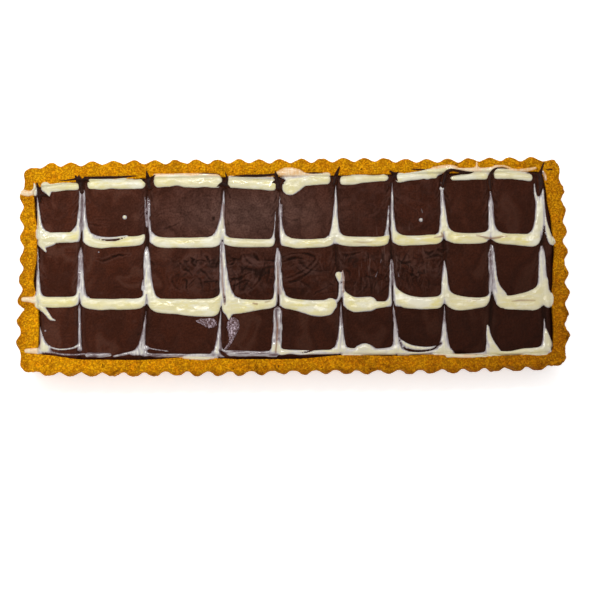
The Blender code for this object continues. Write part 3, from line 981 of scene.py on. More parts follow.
LOWER_EXTRAS = [
    (0.75, [(-171, -20, 1.5), (-167, -20.2, 1.9), (-162, -21, 2.3)]),  # run over the rim
    (1, [(-162, -24, 1.8), (-157.8, -27.2, 1.6), (-154.6, -31.3, 1.2), (-153.5, -32.6, 1),
           (-151, -33.6, 0.4)]),  # comma-shaped drip
    (0.4, [(-95.2, -9, 0.4), (-95.6, -14, 0.8)]),
    (1, [(-40.5, -27.6, 4.2), (-37, -27, 3.4)]),  # bulges
    (1, [(-40.5, -30, 2.4), (-40.5, -34.2, 0.6)]),
    (1, [(7, -26.8, 4), (15, -28.2, 5), (21, -27.8, 4.9), (24.2, -25.6, 4.1)]),
    (1, [(40, -26, 4.8), (49, -25.6, 4.7)]),
    (1, [(29.6, -6.6, 2.1), (30, -9, 1.5)]),  # drop and streak at stroke 6
    (0.75, [(30.2, -11, 0.6), (30.4, -14.5, 0.8), (29.8, -20.5, 0.9), (28.6, -23, 0.8)]),
    (0.55, [(32.2, -4, 0.4), (32.7, -10, 0.7), (32.2, -17, 0.5)]),
    (0.8, [(-44, 8, 0.6), (-43.2, -2, 1.2), (-42.4, -10, 1.8), (-41.4, -17, 2.4)]),  # limb, stroke 4
    (0.75, [(128.4, 11, 0.5), (128.6, 2, 1), (129.4, -10, 1)]),  # limb, stroke 9
    (0.9, [(128.4, -3, 0.6), (129.2, -10, 1.4), (130.6, -16, 2.2), (134, -21, 2.4)]),
    (1, [(154, -23.8, 6), (161, -22.4, 4.6), (162.6, -26.5, 3)]),  # heavy right end
    (0.7, [(-156.9, -40.2, 0.6)]),
    (0.2, [(54.4, -5, 0.1), (53.2, -8, 0.35)]),  # flecks by stroke 7
    (0.15, [(57, 3, 0.3), (56.6, 1, 0.2)]),
    (0.15, [(67.4, -5, 0.1), (68, -8, 0.4)]),
]
LOWER_COCOA = [
    (0.8, [(139.5, -25.2, 0.1), (145, -24.7, 0.35), (154, -24.9, 0.1)]),
    (0.9, [(-25, -24.5, 0.4), (-22.6, -24.9, 0.4)]),
    (0.6, [(-17.2, -23.7, 0.3), (-14.6, -23.2, 0.2)]),
    (0.5, [(111, -24.8, 0.1), (119, -23.8, 0.2)]),
    (0.75, [(32, -4, 0.4), (32.6, -10, 0.6), (32.4, -17.5, 0.5)]),
    (0.5, [(-7.6, -14, 0.5), (-7.4, -18.5, 0.5)]),
]

TOP_CELLS = [
    flat_cell(55, 56.2, 50, 51.2, gaps=(2.6, 1.6), left=(1, 3), round=3),
    flat_cell(58.4, 58.4, 51.8, 51.8, gaps=(3.4, 1.6), round=3.4),
    flat_cell(60.2, 59.8, 53.2, 52.6, gaps=(3.6, 1.4), round=3.4, wave=0.8),
    flat_cell(58.4, 57.4, 51.2, 49.6, gaps=(2.2, 2.2), round=3.4),
    flat_cell(59.6, 60.4, 51.6, 53.2, gaps=(3.4, 3.6), right=(1.4, 2), round=3),
    flat_cell(58.6, 59.2, 52.2, 54.6, gaps=(2.6, 2.4), round=3.4),
    flat_cell(59.6, 61.9, 53.8, 56.2, gaps=(2.2, 2.4), right=(0.8, 4), round=2.6),
    flat_cell(57.4, 61, 54.8, 55, gaps=(5.8, 1.2), right=(1.6, 2), round=2.6),
    flat_cell(62.4, 58.6, 55, 53.9, gaps=(2.6, 4.4), round=2.6),
]
TOP_EXTRAS = [
    (1, [(-158.5, 53.8, 3), (-157, 50.6, 2.1), (-156.6, 47.6, 0.8)]),  # droop of the first stretch
    (1, [(-165.6, 55.5, 0.6), (-165, 52, 1.2), (-165.2, 49, 1.2)]),
    (0.7, [(-172.6, 49.8, 2.1), (-169.6, 49, 2), (-166.5, 49.8, 1.6), (-164.8, 51.5, 1.2)]),  # on the corner
    (1, [(-0.6, 51.4, 5.3), (3.4, 53.4, 4.6), (8, 56, 3.4)]),  # the heavy drop
    (0.6, [(-8, 60.6, 1.6), (-3, 60.4, 3.8), (3, 59.6, 4), (10, 59, 1.6), (24, 58.8, 0.9)]),
    (1, [(88, 58.2, 2.8), (95, 60.4, 2.3), (101, 62, 1.4), (105, 62.8, 0.6)]),  # swept up on the rim
    (0.5, [(92, 62.2, 1.2), (101, 63.6, 1.3), (107, 63.2, 0.6)]),
    (0.8, [(103.5, 62.2, 0.6), (111, 61.4, 1), (119, 60, 2.6), (126, 60, 2.4), (133, 63, 0.6)]),
    (0.55, [(120.2, 66.6, 0.4), (120, 62, 1.2)]),
    (0.55, [(132, 63.2, 0.7), (138, 63.2, 0.8), (144, 60.8, 0.9), (150, 60.4, 1.3), (158, 61.8, 0.9)]),
    (0.55, [(-88, 60.2, 1), (-60, 60.2, 1.1), (-48, 59.6, 0.9)]),
    (0.75, [(-40, 58.6, 0.6), (-12, 58, 0.6)]),
    (0.45, [(161.6, 61, 0.8), (163.8, 57, 1), (164.2, 54, 0.8)]),
]

BOTTOM_CELLS = [
    flat_cell(-50.8, -50.2, -52, -51.4, drawn=False),
    flat_cell(-54.8, -54.8, -57.4, -57, gaps=(3.8, 20), round=1.4, cover=0.4),
    flat_cell(-55.6, -56.6, -57.6, -59.2, left=(0.6, 3), right=(1.5, 3), cover=0.36),
    flat_cell(-54.4, -54.8, -58.4, -58.4, left=(1.5, 3), right=(1, 3), cover=0.36),
    flat_cell(-54.2, -55, -57.4, -57.4, left=(1, 3), right=(1, 3), cover=0.85),
    flat_cell(-54.2, -54, -58.6, -58.4, left=(2, 3), right=(2, 3), cover=0.84),
    flat_cell(-56.4, -56, -58.8, -58.4, left=(2.6, 3), right=(2.6, 3), cover=0.84),
    flat_cell(-58.1, -57.9, -60.7, -60.7, left=(2.6, 3), right=(1, 3), cover=0.8, wave=0.7),
    flat_cell(-57.7, -54.7, -59.9, -59.7, gaps=(0, -1.2), left=(5, 4), right=(1, 4), cover=0.95,
              round=2.4),
]
BOTTOM_TRAILS = [
    trail(13, 0.6, 0.5, 1.5, lean=0.8, foot=4, cover=(1, 0.9), ragged=0.25),
    trail(29, 0.8, 0.15, 0.2, tip=3, foot=1, cover=(0.8, 0.7), ragged=0.15),
    trail(28, 0.3, 1.6, 0.8, foot=1.6, cover=(0.6, 0.5), ragged=0.25, lean=-0.9),
    trail(28, 0.5, 1, 0.8, foot=2, cover=(0.7, 0.5), ragged=0.25),
    trail(28, 2.7, 0.2, 0.2, tip=3, foot=2, cover=(0.98, 0.92), ragged=0.35, seam=1,
          hollow=0.6, lean=-1.4),
    trail(31, 0.4, 1.4, 1.1, foot=2, cover=(0.9, 0.5), ragged=0.2),
    trail(30, 0.3, 0.9, 1.8, foot=2, cover=(0.95, 0.5), ragged=0.25),
    trail(30, 0.3, 2, 1.4, foot=2, cover=(1, 0.6), ragged=0.15),
    trail(17, 0.5, 0.2, 0.9, foot=2, cover=(0.9, 0.7), ragged=0.2),
    trail(20, 0.4, 1.4, 0.9, foot=2, cover=(1, 0.8), ragged=0.15),
]
BOTTOM_EXTRAS = [
    (0.7, [(-168.2, -53, 1.5), (-161, -53.2, 2)]),
    (0.85, [(-156, -50, 0.5), (-148, -52.2, 0.5), (-140, -51.6, 0.5), (-135.6, -49.8, 0.9)]),
    (0.35, [(-155, -53.2, 0.4), (-147, -55.2, 0.6), (-139.5, -55.7, 0.6), (-132.5, -55.4, 0.5)]),
    (0.5, [(-113, -57, 0.6), (-108, -56, 0.8), (-98, -54, 1), (-93, -52, 1.6)]),
    (0.95, [(-69, -58, 1.3), (-62, -58.2, 2), (-55, -58.4, 1.9), (-49, -58, 1.3)]),
    (0.5, [(-90.5, -52.3, 0.4), (-85.5, -53.3, 0.35), (-79, -54.2, 0.2)]),
    (0.9, [(42, -54.8, 2.8), (45.5, -54.5, 3.7), (49.5, -55.3, 2.6)]),
    (0.9, [(68.4, -49.6, 0.8), (73, -53, 1.4), (80, -54.6, 1.4), (87, -54.4, 1), (92, -53, 0.6)]),
    (0.95, [(123.4, -40.5, 0.5), (123.8, -46, 1.4), (125.2, -51.5, 2.2), (129, -57, 2)]),
    (1, [(160, -43.5, 0.8), (160.6, -48, 1.9), (161.4, -53, 2.9)]),
]
BOTTOM_CUTS = [
    [(-46, -54.3, 0.5), (-44, -56.6, 1.1), (-39.5, -59.4, 0.6)],
    [(4.5, -56.5, 0.1), (8, -56, 0.5), (12.5, -55, 0.3)],
    [(66.5, -43.5, 0.15), (68, -51.5, 0.4), (71.5, -55, 0.6), (79, -56.2, 0.6), (87, -55.4, 0.5),
     (93.5, -51.5, 0.4)],
]

# Chocolate dragged through the top line and onto the rim
CHOCOLATE_DRAGS = [
    [(-164, 56, 0.5), (-162.6, 50, 1.4), (-162, 44, 1.2)],
    [(-162.5, 47.5, 1.2), (-158.5, 48.2, 1.1), (-155.3, 46, 0.3)],
    [(-139.2, 60.2, 0.5), (-136.5, 56.8, 1.9), (-132.5, 57.6, 1.1), (-129.6, 56.2, 0.2)],
    [(-137, 60.4, 0.5), (-136, 56, 1.6), (-135, 50, 1.5)],
    [(-93.4, 63, 0.3), (-92.5, 58.5, 1.4), (-91.5, 52, 1.9)],
    [(-97.4, 58.4, 0.2), (-93, 56.5, 1.5), (-87.6, 60.2, 0.4)],
    [(-42.4, 61.4, 0.3), (-41.5, 57.6, 0.9), (-42.6, 53, 1.6)],
    [(-48.2, 52.3, 0.3), (-44, 54, 1.6), (-39.8, 51.8, 0.6)],
    [(-10.4, 62, 0.3), (-9.4, 58, 1.3), (-8, 51, 2.2)],
    [(-13.4, 53.8, 0.2), (-9, 55, 1.6), (-4.4, 53.6, 0.3)],
    [(-3.4, 55.6, 0.2), (-7.2, 56.2, 1.1)],
    [(31.3, 64.2, 0.4), (29.8, 60.5, 1.1), (28.4, 56.5, 1.5), (27.4, 52.5, 1.3)],
    [(24.6, 58.2, 0.3), (27.6, 57, 1.2)],
    [(64, 60.8, 0.5), (66.8, 58.6, 1.3), (68.6, 54.8, 0.5)],
    [(69.2, 60.2, 0.4), (66.6, 58, 1.4), (64.6, 54.6, 0.9), (63.6, 51, 1.3)],
    [(97.6, 50.5, 1.2), (98.7, 54.6, 1.6), (100.1, 58.9, 1.6), (103, 61, 1.1), (107, 60.6, 0.9),
     (111, 59.4, 1.2), (115.6, 59.2, 0.9), (119, 60, 0.2)],
    [(128.4, 48, 1.3), (128.2, 53, 1.5), (128.6, 57, 1.3), (130.6, 60.4, 1.1), (133.4, 61.9, 0.7),
     (138, 62, 0.4), (142, 61.2, 0.2)],
    [(154.4, 58.7, 0.2), (158.4, 57.8, 1.2), (160.8, 55.4, 2), (160.8, 49.5, 1.9), (159.6, 44, 0.8)],
    [(163.6, 65.4, 0.4), (162, 61.4, 0.8), (160.6, 57, 1.5)],
    [(165, 60.5, 0.3), (168.4, 60.7, 0.5)],
    [(-61.6, 60.4, 0.2), (-55, 61, 0.35), (-46, 60.4, 0.2)],
    [(-149.5, 57, 0.2), (-142, 57.9, 0.5), (-136.5, 58.8, 0.8)],
    [(-133, 59, 0.9), (-122, 58.9, 1.1), (-108, 59.3, 0.7), (-100, 59.8, 0.3)],
    [(-39, 58.8, 0.2), (-30, 59, 0.8), (-20, 59, 0.9), (-11, 59.6, 0.7)],
    [(9, 60.4, 0.2), (15, 60.2, 0.7), (22, 60, 0.3)],
    [(78, 61.9, 0.2), (82, 61.8, 0.5), (86.5, 61.7, 0.3)],
]

# Icing that has dried to sugar crystals
CRYSTALS = [
    [(-61.2, -35.2, 0.4), (-57.4, -35.6, 1.9), (-53.2, -36.6, 3), (-51.6, -36.8, 3.3)],
    [(-37.8, -37.2, 4), (-38.2, -41, 3.4), (-38.8, -45.4, 1.8), (-39.5, -49, 0.9), (-43, -53.4, 0.3)],
]


ICING_LINES = [
    {"node": "icing_line_top", "reach": (44, 68), "cells": TOP_CELLS, "extras": TOP_EXTRAS},
    {"node": "icing_line_upper", "reach": (6, 58), "cells": UPPER_CELLS, "trails": UPPER_TRAILS,
     "notches": UPPER_NOTCHES, "extras": UPPER_EXTRAS, "cuts": UPPER_CUTS, "cocoa": UPPER_COCOA},
    {"node": "icing_line_lower", "reach": (-43, 16), "cells": LOWER_CELLS, "trails": LOWER_TRAILS,
     "notches": LOWER_NOTCHES, "extras": LOWER_EXTRAS, "cocoa": LOWER_COCOA},
    {"node": "icing_line_bottom", "reach": (-63, -20), "cells": BOTTOM_CELLS, "trails": BOTTOM_TRAILS,
     "extras": BOTTOM_EXTRAS, "cuts": BOTTOM_CUTS},
]


def draw_line(layer, line):
    """All of one icing line: its stretches, its trails and wedges of chocolate, then its single touches."""
    cells = line["cells"]
    for number, one in enumerate(cells):
        if one["drawn"]:
            draw_cell(layer, number, one)
    for number, one in enumerate(line.get("trails", [])):
        left = cells[max(number - 1, 0)]["edges"]
        right = cells[min(number, len(cells) - 1)]["edges"]
        draw_trail(layer, number, (left[1] + right[0]) / 2, one)
        if "notches" in line:
            draw_notch(layer, number, (left[3] + right[2]) / 2, line["notches"][number])
    draw_strokes(layer, line["extras"], line.get("cuts", []), line.get("cocoa", []))


def draw_strokes(layer, extras, cuts=(), cocoa=()):
    """Single touches: strokes added with a cover, strokes taken away, and strokes stained with cocoa."""
    for cover, points in extras:
        part, depth = stroke_depth(layer, points)
        layer.add(part, depth, cover, 0.5, 0.7 if cover > 0.8 else 1.6)
    for points in cuts:
        part, depth = stroke_depth(layer, points)
        layer.cut(part, depth)
    for strength, points in cocoa:
        part, depth = stroke_depth(layer, points)
        layer.cocoa[part] = np.maximum(layer.cocoa[part], strength * soft_step(-0.7, 0.4, depth))


def make_icing(ground, material):
    for line in ICING_LINES:
        low, high = line["reach"]
        layer = Layer((-ICING_END, low), (ICING_END, high), ICING_STEP)
        draw_line(layer, line)
        piece = lay(layer, "feathered_" + line["node"], ground)
        finish_piece(piece, material, "icing", line["node"])


def make_chocolate_drags(ground, material):
    layer = Layer((-170, 42), (172, 67), ICING_STEP)
    draw_strokes(layer, [(1, points) for points in CHOCOLATE_DRAGS])
    piece = lay(layer, "chocolate_drags", ground, height=1.7, shoulder=1.6)
    finish_piece(piece, material, "ganache")


def make_crystals(ground, material):
    layer = Layer((-64, -56), (-30, -30), CRYSTAL_STEP)
    draw_strokes(layer, [(1, points) for points in CRYSTALS])
    layer.depth += 0.7 * rough_noise(layer.x, layer.y, 2.0, 95, 3) * (layer.depth > -2)
    piece = lay(layer, "sugar_crystals", ground, height=0.6, shoulder=0.8, roughen=0.12)
    finish_piece(piece, material, "icing")


# ---------------------------------------------------------------- materials


def feed(socket, value):
    """Link a socket to another node's output, or set it to a number or a colour."""
    if isinstance(value, bpy.types.NodeSocket):
        socket.id_data.links.new(value, socket)
    elif socket.type == "RGBA":
        socket.default_value = (*value, 1.0)
    else:
        socket.default_value = value


def add_node(kind, inputs, tree=None, **settings):
    """A new node in the given tree, or else in the tree that its linked inputs come from."""
    linked = (value.id_data for value in inputs.values() if isinstance(value, bpy.types.NodeSocket))
    node = (tree or next(linked)).nodes.new("ShaderNode" + kind)
    for name, value in settings.items():
        setattr(node, name, value)
    for socket, value in inputs.items():
        feed(node.inputs[socket], value)
    return node


def new_material(name):
    """A material, its tree and its place in millimetres."""
    material = bpy.data.materials.new(name)
    material.use_nodes = True
    tree = material.node_tree
    place = add_node("TexCoord", {}, tree).outputs["Object"]
    mapping = add_node("Mapping", {"Vector": place, "Scale": (1 / MM, 1 / MM, 1 / MM)})
    return material, tree, mapping.outputs["Vector"]


def dress(material, looks):
    """Feed the sockets of a material's shader."""
    shader = material.node_tree.nodes["Principled BSDF"]
    for socket, value in looks.items():
        feed(shader.inputs[socket], value)
    return material


def new_group(name, inputs, outputs):
    """A node group with named sockets, and its input and output nodes' sockets."""
    group = bpy.data.node_groups.new(name, "ShaderNodeTree")
    for direction, sockets in (("INPUT", inputs), ("OUTPUT", outputs)):
        for socket, kind in sockets.items():
            group.interface.new_socket(socket, in_out=direction, socket_type="NodeSocket" + kind)
    return group, group.nodes.new("NodeGroupInput").outputs, group.nodes.new("NodeGroupOutput").inputs


def place_group(name, build, inputs):
    """Put a shared group in a material with its own values; it is built the first time it is wanted."""
    return add_node("Group", inputs, node_tree=bpy.data.node_groups.get(name) or build(name)).outputs


def maths(operation, *values, clamp=False):
    return add_node("Math", dict(enumerate(values)), operation=operation, use_clamp=clamp).outputs[0]


def times(a, b):
    return maths("MULTIPLY", a, b)


def mix_colour(share, a, b, blend="MIX"):
    return add_node("Mix", {0: share, 6: a, 7: b}, data_type="RGBA", blend_type=blend).outputs[2]


def tinted(colour, tints):
    """A colour taken towards others, one after another, each by a mask times a strength."""
    for mask, strength, towards in tints:
        colour = mix_colour(maths("MULTIPLY", mask, strength, clamp=True), colour, towards)
    return colour


def colour_steps(share, steps):
    """A colour for each share from 0 to 1, blended between steps of (share, colour)."""
    node = add_node("ValToRGB", {0: share})
    stops = node.color_ramp.elements
    while len(stops) < len(steps):
        stops.new(0.5)
    for stop, (position, colour) in zip(stops, steps):
        stop.position = position
        stop.color = (*colour, 1.0)
    return node.outputs[0]


def spread(value, low, high):
    """0 where a value is below low, 1 above high."""
    inputs = {"Value": value, "From Min": low, "From Max": high}
    return add_node("MapRange", inputs, interpolation_type="SMOOTHSTEP").outputs["Result"]


def attribute(tree, name):
    return add_node("Attribute", {}, tree, attribute_name=name).outputs["Fac"]


def stretched(place, x, y):
    """A place squeezed or stretched along x and y, for streaks."""
    return add_node("VectorMath", {0: place, 1: (x, y, 1.0)}, operation="MULTIPLY").outputs[0]


def bump(height, distance):
    inputs = {"Strength": 1.0, "Distance": distance * MM, "Height": height}
    return add_node("Bump", inputs).outputs["Normal"]


def build_mottle(name):
    """Grain of several sizes, as a mask from 0 to 1."""
    inputs = {"Place": "Vector", "Per mm": "Float", "Low": "Float", "High": "Float"}
    group, given, result = new_group(name, inputs, {"Mask": "Float"})
    noise = add_node("TexNoise", {
        "Vector": given["Place"], "Scale": given["Per mm"], "Detail": 4.0, "Roughness": 0.6})
    feed(result["Mask"], spread(noise.outputs["Fac"], given["Low"], given["High"]))
    return group


def mottle(place, per_mm, low, high):
    inputs = {"Place": place, "Per mm": per_mm, "Low": low, "High": high}
    return place_group("Mottle", build_mottle, inputs)["Mask"]


def build_crumbs(name):
    """Separate crumbs or crystals: a shade for each one, and a mask of the gaps between them."""
    inputs = {"Place": "Vector", "Per mm": "Float"}
    group, given, result = new_group(name, inputs, {"Shade": "Float", "Gap": "Float"})
    push = add_node("TexNoise", {"Vector": given["Place"], "Scale": given["Per mm"]})
    moved = add_node("VectorMath", {
        0: push.outputs["Color"], 1: (1.6, 1.6, 1.6), 2: given["Place"]}, operation="MULTIPLY_ADD")
    cells = add_node("TexVoronoi", {"Vector": moved.outputs[0], "Scale": given["Per mm"]})
    shade = add_node("SeparateColor", {0: cells.outputs["Color"]})
    feed(result["Shade"], shade.outputs[0])
    feed(result["Gap"], spread(cells.outputs["Distance"], 0.35, 0.75))
    return group


def crumbs(place, per_mm):
    outputs = place_group("Crumbs", build_crumbs, {"Place": place, "Per mm": per_mm})
    return outputs["Shade"], outputs["Gap"]


def build_swirls(name):
    """Marks of a spatula: masks of thin curling furrows and of the lips beside them, for painted shade in the
    furrows and painted highlights on the lips.
    """
    inputs = {"Place": "Vector", "Per mm": "Float", "Curl": "Float", "Width": "Float"}
    group, given, result = new_group(name, inputs, {"Furrow": "Float", "Lip": "Float"})
    noise = add_node("TexNoise", {
        "Vector": given["Place"], "Scale": given["Per mm"], "Detail": 1.5, "Distortion": given["Curl"]})
    level = noise.outputs["Fac"]
    beside = maths("MULTIPLY_ADD", given["Width"], -1.5, level)
    for socket, value in (("Furrow", level), ("Lip", beside)):
        off = maths("ABSOLUTE", maths("SUBTRACT", value, 0.5))
        feed(result[socket], maths("SUBTRACT", 1.0, spread(off, 0.0, given["Width"])))
    return group


def swirls(place, per_mm, curl, width):
    inputs = {"Place": place, "Per mm": per_mm, "Curl": curl, "Width": width}
    outputs = place_group("Swirls", build_swirls, inputs)
    return outputs["Furrow"], outputs["Lip"]


def build_painted_falloff_shade(name):
    """Painted shade of light falling off: scale a colour towards the near right corner of the tart, down to a
    darkest share of itself.
    """
    inputs = {"Place": "Vector", "Colour": "Color", "Darkest": "Color", "Bend": "Float"}
    group, given, result = new_group(name, inputs, {"Colour": "Color"})
    split = add_node("SeparateXYZ", {0: given["Place"]})
    across = maths("MULTIPLY_ADD", split.outputs["X"], 1 / (2 * CASE_HIGH.x), 0.5, clamp=True)
    bent = maths("POWER", across, given["Bend"])
    nearer = maths("MULTIPLY_ADD", split.outputs["Y"], -0.0045, 0.80, clamp=True)
    dark = mix_colour(1.0, given["Colour"], given["Darkest"], "MULTIPLY")
    feed(result["Colour"], mix_colour(times(bent, nearer), given["Colour"], dark))
    return group


def painted_falloff_shade(place, colour, darkest, bend=1.0):
    inputs = {"Place": place, "Colour": colour, "Darkest": darkest, "Bend": bend}
    return place_group("Painted falloff shade", build_painted_falloff_shade, inputs)["Colour"]


def pastry_material():
    """Golden shortcrust: crumbly, browned on its edges, with dark crumbs and small holes; with painted shade
    on the near side's crests, in its dents and towards the near right corner.
    """
    material, tree, place = new_material("golden_shortcrust")
    shade, gap = crumbs(place, 0.80)
    fine = mottle(place, 0.95, 0.47, 0.61)
    patches = mottle(place, 0.12, 0.40, 0.60)
    colour = mix_colour(patches, (1.00, 0.365, 0.0012), (1.00, 0.440, 0.0020))
    colour = tinted(colour, [
        (shade, 0.48, (1.00, 0.540, 0.010)),
        (fine, 0.56, (0.53, 0.145, 0.0010)),
        (gap, 0.28, (0.45, 0.110, 0.0010)),
        # Browning, with painted shade on the near side's crests.
        (attribute(tree, "browning_and_shade"), 0.5, (0.30, 0.085, 0.0012)),
        # Painted shade in the dents of the crumb.
        (attribute(tree, "dent_shade"), 0.5, (0.15, 0.034, 0.0012)),
        (mottle(place, 0.36, 0.64, 0.70), 0.85, (0.10, 0.020, 0.002)),
    ])
    return dress(material, {
        # Painted shade: darker towards the near right corner, where the light falls off.
        "Base Color": painted_falloff_shade(place, colour, (0.46, 0.39, 0.50)),
        "Roughness": maths("MULTIPLY_ADD", fine, 0.15, 0.8),
        "Specular IOR Level": 0.04,
        "Normal": bump(maths("MULTIPLY_ADD", gap, -0.7, fine), 0.5),
    })


def ganache_material():
    """Set ganache: dark, satin and brushed by the spatula; its colour carries a painted sheen patch, painted
    shade and highlights along the marks, painted shadow in the moat and painted shade towards the near right
    corner.
    """
    material, tree, place = new_material("set_ganache")
    marked = attribute(tree, "marked")
    relief = attribute(tree, "relief")
    clouds = mottle(place, 0.03, 0.38, 0.62)
    grain = mottle(place, 0.85, 0.40, 0.68)
    # Painted shade in the sweeps' furrows and painted highlights on their lips.
    sweep, sweep_lip = swirls(stretched(place, 1.1, 0.8), 0.050, 0.7, 0.11)
    furrow, lip = swirls(stretched(place, 0.8, 1.2), 0.055, 1.1, 0.050)
    fold, fold_lip = swirls(stretched(place, 1.3, 0.7), 0.14, 0.9, 0.060)
    patchy = times(marked, mottle(place, 0.06, 0.36, 0.50))
    # Painted shade in the spatula's furrows and painted highlights on their lips, in patches where the marks
    # are strong; both also bump the surface.
    dark = times(patchy, maths("MAXIMUM", furrow, times(fold, 0.6)))
    pale = times(patchy, maths("MAXIMUM", lip, times(fold_lip, 0.6)))
    # Painted sheen: broad lighter streaks where the spatula marked the ganache.
    painted_sheen = times(marked, mottle(stretched(place, 0.7, 1.3), 0.10, 0.48, 0.66))
    scratches = mottle(stretched(place, 1.0, 0.14), 0.70, 0.58, 0.66)
    pulled = mottle(stretched(place, 1.0, 0.1), 0.9, 0.35, 0.65)
    drag = times(attribute(tree, "dragged"), pulled)
    colour = mix_colour(clouds, (0.065, 0.0138, 0.0052), (0.077, 0.0180, 0.0076))
    colour = tinted(colour, [
        # Painted sheen: a patch of the far row lightened as if it reflected a soft light.
        (attribute(tree, "painted_sheen_patch"), 0.95, (0.180, 0.096, 0.078)),
        (grain, 0.52, (0.018, 0.003, 0.001)),
        (sweep, 0.42, (0.022, 0.005, 0.002)),
        (sweep_lip, 0.25, (0.150, 0.072, 0.052)),
        (painted_sheen, 0.35, (0.120, 0.058, 0.048)),
        (pale, 0.50, (0.140, 0.070, 0.060)),
        (dark, 0.95, (0.009, 0.002, 0.001)),
        (times(attribute(tree, "scratched"), scratches), 0.75, (0.170, 0.095, 0.082)),
        (drag, 0.85, (0.012, 0.003, 0.001)),
        # Painted highlights on the ridges of the relief and painted shade in its creases and grooves.
        (relief, 0.65, (0.130, 0.066, 0.055)),
        (relief, -1.2, (0.008, 0.002, 0.001)),
        # Painted shadow in the moat between the filling and the crust.
        (attribute(tree, "moat_dip_and_shade"), 0.95, (0.005, 0.0012, 0.0008)),
    ])
    height = maths("SUBTRACT", maths("ADD", pale, grain), maths("ADD", dark, drag))
    return dress(material, {
        # Painted shade: darker towards the near right corner, where the light falls off.
        "Base Color": painted_falloff_shade(place, colour, (0.20, 0.145, 0.10), 0.5),
        "Roughness": maths("MULTIPLY_ADD", grain, 0.12, 0.40),
        "Specular IOR Level": 0.11,
        "Specular Tint": (1.0, 0.55, 0.42),
        "Normal": bump(height, 0.15),
    })


def icing_material():
    """Glossy icing: cream where it is thick, lilac grey where it thins over chocolate, peach over crust; with
    painted highlights, painted shade at its edges and towards the near right corner.
    """
    material, tree, place = new_material("white_icing")
    cover = attribute(tree, "cover")
    along = attribute(tree, "along")
    edge_thinning_and_shade = maths("SUBTRACT", 1.0, attribute(tree, "depth"))
    drag = mottle(stretched(place, 1.2, 0.12), 0.7, 0.34, 0.66)
    flow = mottle(stretched(place, 0.15, 0.9), 0.7, 0.34, 0.66)
    streak = maths("SUBTRACT", mix_colour(along, flow, drag), 0.5)
    unsure = times(cover, maths("SUBTRACT", 1.02, cover, clamp=True))
    milk = maths("MULTIPLY_ADD", times(unsure, streak), 2.0, cover, clamp=True)
    cream = tinted((0.71, 0.645, 0.36), [
        (mottle(place, 0.035, 0.46, 0.62), 0.7, (0.74, 0.650, 0.21)),
        # Whiter patches: painted highlights.
        (mottle(stretched(place, 0.4, 1.0), 0.11, 0.52, 0.64), 0.6, (0.84, 0.83, 0.72)),
        (along, 0.55, (0.67, 0.64, 0.49)),
        # Greyer where the icing is shallow near its outline: partly its thinning, partly painted shade on the
        # rounded edge.
        (edge_thinning_and_shade, 0.30, (0.56, 0.54, 0.48)),
        # Streaks of the pulled film, whitened here as painted streaks of highlight.
        (streak, 0.9, (0.78, 0.76, 0.62)),
    ])
    over_ganache = colour_steps(milk, [
        (0.0, (0.050, 0.018, 0.014)), (0.25, (0.15, 0.10, 0.11)), (0.52, (0.38, 0.35, 0.36)),
        (0.80, (0.60, 0.57, 0.53)), (1.0, (0.68, 0.65, 0.46))])
    over_crust = colour_steps(milk, [
        (0.0, (0.58, 0.215, 0.006)), (0.35, (0.72, 0.40, 0.13)), (0.75, (0.80, 0.60, 0.38)),
        (1.0, (0.74, 0.70, 0.46))])
    film = mix_colour(attribute(tree, "on_crust"), over_ganache, over_crust)
    colour = mix_colour(spread(milk, 0.75, 1.0), film, cream)
    colour = tinted(colour, [(attribute(tree, "cocoa"), 0.9, (0.24, 0.10, 0.035))])
    lumps = mottle(place, 0.10, 0.25, 0.75)
    return dress(material, {
        # Painted shade: darker towards the near right corner, where the light falls off.
        "Base Color": painted_falloff_shade(place, colour, (0.76, 0.73, 0.72)),
        "Roughness": maths("MULTIPLY_ADD", mottle(place, 0.11, 0.42, 0.58), 0.24, 0.06),
        "Specular IOR Level": 0.6,
        "Normal": bump(maths("MULTIPLY_ADD", milk, 0.08, lumps), 0.40),
    })


def drag_material():
    """Melted chocolate that the knife pulled over the icing: near black, red-brown where it thins."""
    material, tree, place = new_material("melted_chocolate")
    streak = mottle(stretched(place, 1.0, 0.4), 1.0, 0.35, 0.65)
    cover = maths("MULTIPLY_ADD", streak, -0.25, attribute(tree, "cover"), clamp=True)
    return dress(material, {
        "Base Color": colour_steps(cover, [
            (0.30, (0.14, 0.034, 0.009)), (0.62, (0.042, 0.011, 0.005)), (0.92, (0.014, 0.004, 0.002))]),
        "Roughness": 0.35,
        "Specular IOR Level": 0.08,
        "Normal": bump(streak, 0.10),
    })


def crystal_material():
    """Bloomed sugar: pale sparkling grains on a lilac-brown crust."""
    material, tree, place = new_material("sugar_crystals")
    shade, gap = crumbs(place, 1.0)
    bare = maths("SUBTRACT", 1.0, attribute(tree, "cover"), clamp=True)
    colour = mix_colour(shade, (0.15, 0.085, 0.090), (0.52, 0.41, 0.47))
    colour = tinted(colour, [(gap, 1.0, (0.075, 0.030, 0.027)), (bare, 0.8, (0.06, 0.020, 0.016))])
    return dress(material, {
        "Base Color": colour,
        "Roughness": 0.5,
        "Specular IOR Level": 0.3,
        "Normal": bump(maths("SUBTRACT", 1.0, gap), 0.35),
    })


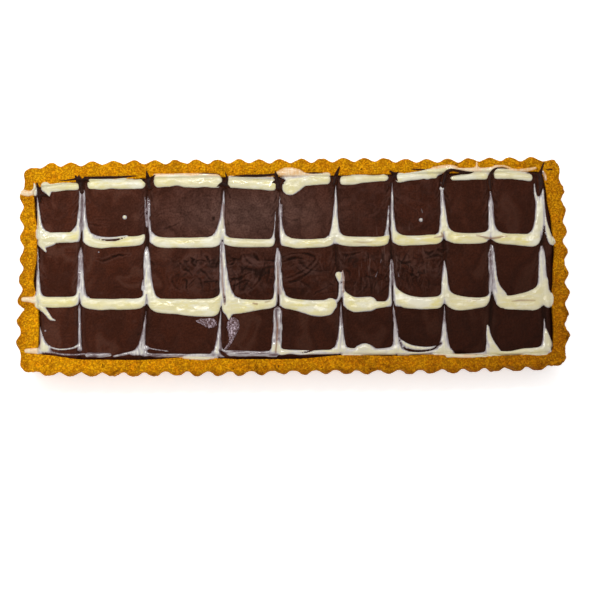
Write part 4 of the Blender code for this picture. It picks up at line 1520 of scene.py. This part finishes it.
def floor_material():
    material, _, place = new_material("pale_floor")
    faint = mottle(place, 0.02, 0.3, 0.7)
    return dress(material, {
        "Base Color": mix_colour(faint, (0.92, 0.92, 0.92), (0.94, 0.94, 0.94)),
        "Emission Color": (1.0, 1.0, 1.0),
        "Emission Strength": 0.41,
        "Roughness": 0.7,
        "Specular IOR Level": 0.2,
    })


# ---------------------------------------------------------------- stage


def make_floor():
    deselect_all()
    bpy.ops.mesh.primitive_plane_add(size=FLOOR_SIZE, location=(0, 0, CASE_LOW.z * MM - FLOOR_GAP))
    floor = name_new_piece("floor")
    floor.data.materials.append(floor_material())


def add_area_light(name, place, size, power, colour):
    deselect_all()
    turn = (-Vector(place)).to_track_quat("-Z", "Y").to_euler()
    bpy.ops.object.light_add(type="AREA", location=place, rotation=turn)
    light = bpy.context.object
    light.name = name
    light.data.shape = "RECTANGLE"
    light.data.size, light.data.size_y = size
    light.data.energy = power
    light.data.color = colour


def make_lights():
    for light in LIGHTS:
        add_area_light(*light)
    world = bpy.data.worlds.new("studio")
    world.use_nodes = True
    background = world.node_tree.nodes["Background"]
    background.inputs["Color"].default_value = (1.0, 1.0, 1.0, 1.0)
    background.inputs["Strength"].default_value = WORLD_BRIGHTNESS
    bpy.context.scene.world = world
    bpy.context.scene.view_settings.view_transform = "Standard"


def make_camera():
    """Looking almost straight down, leaning a little towards the near long side."""
    turn = Euler((math.radians(CAMERA_TILT), 0, math.radians(CAMERA_ROLL)), "XYZ")
    place = Vector(CAMERA_AIM) + turn.to_matrix() @ Vector((0, 0, CAMERA_DISTANCE))
    bpy.ops.object.camera_add(location=place, rotation=turn)
    camera = bpy.context.object
    camera.data.sensor_width = SENSOR_WIDTH
    camera.data.lens = FOCAL_LENGTH
    bpy.context.scene.camera = camera


def main():
    make_camera()
    make_lights()
    make_floor()
    crust = make_crust(pastry_material())
    ganache = make_ganache(ganache_material())
    ground = Ground(crust, ganache)
    make_icing(ground, icing_material())
    make_chocolate_drags(ground, drag_material())
    make_crystals(ground, crystal_material())


main()
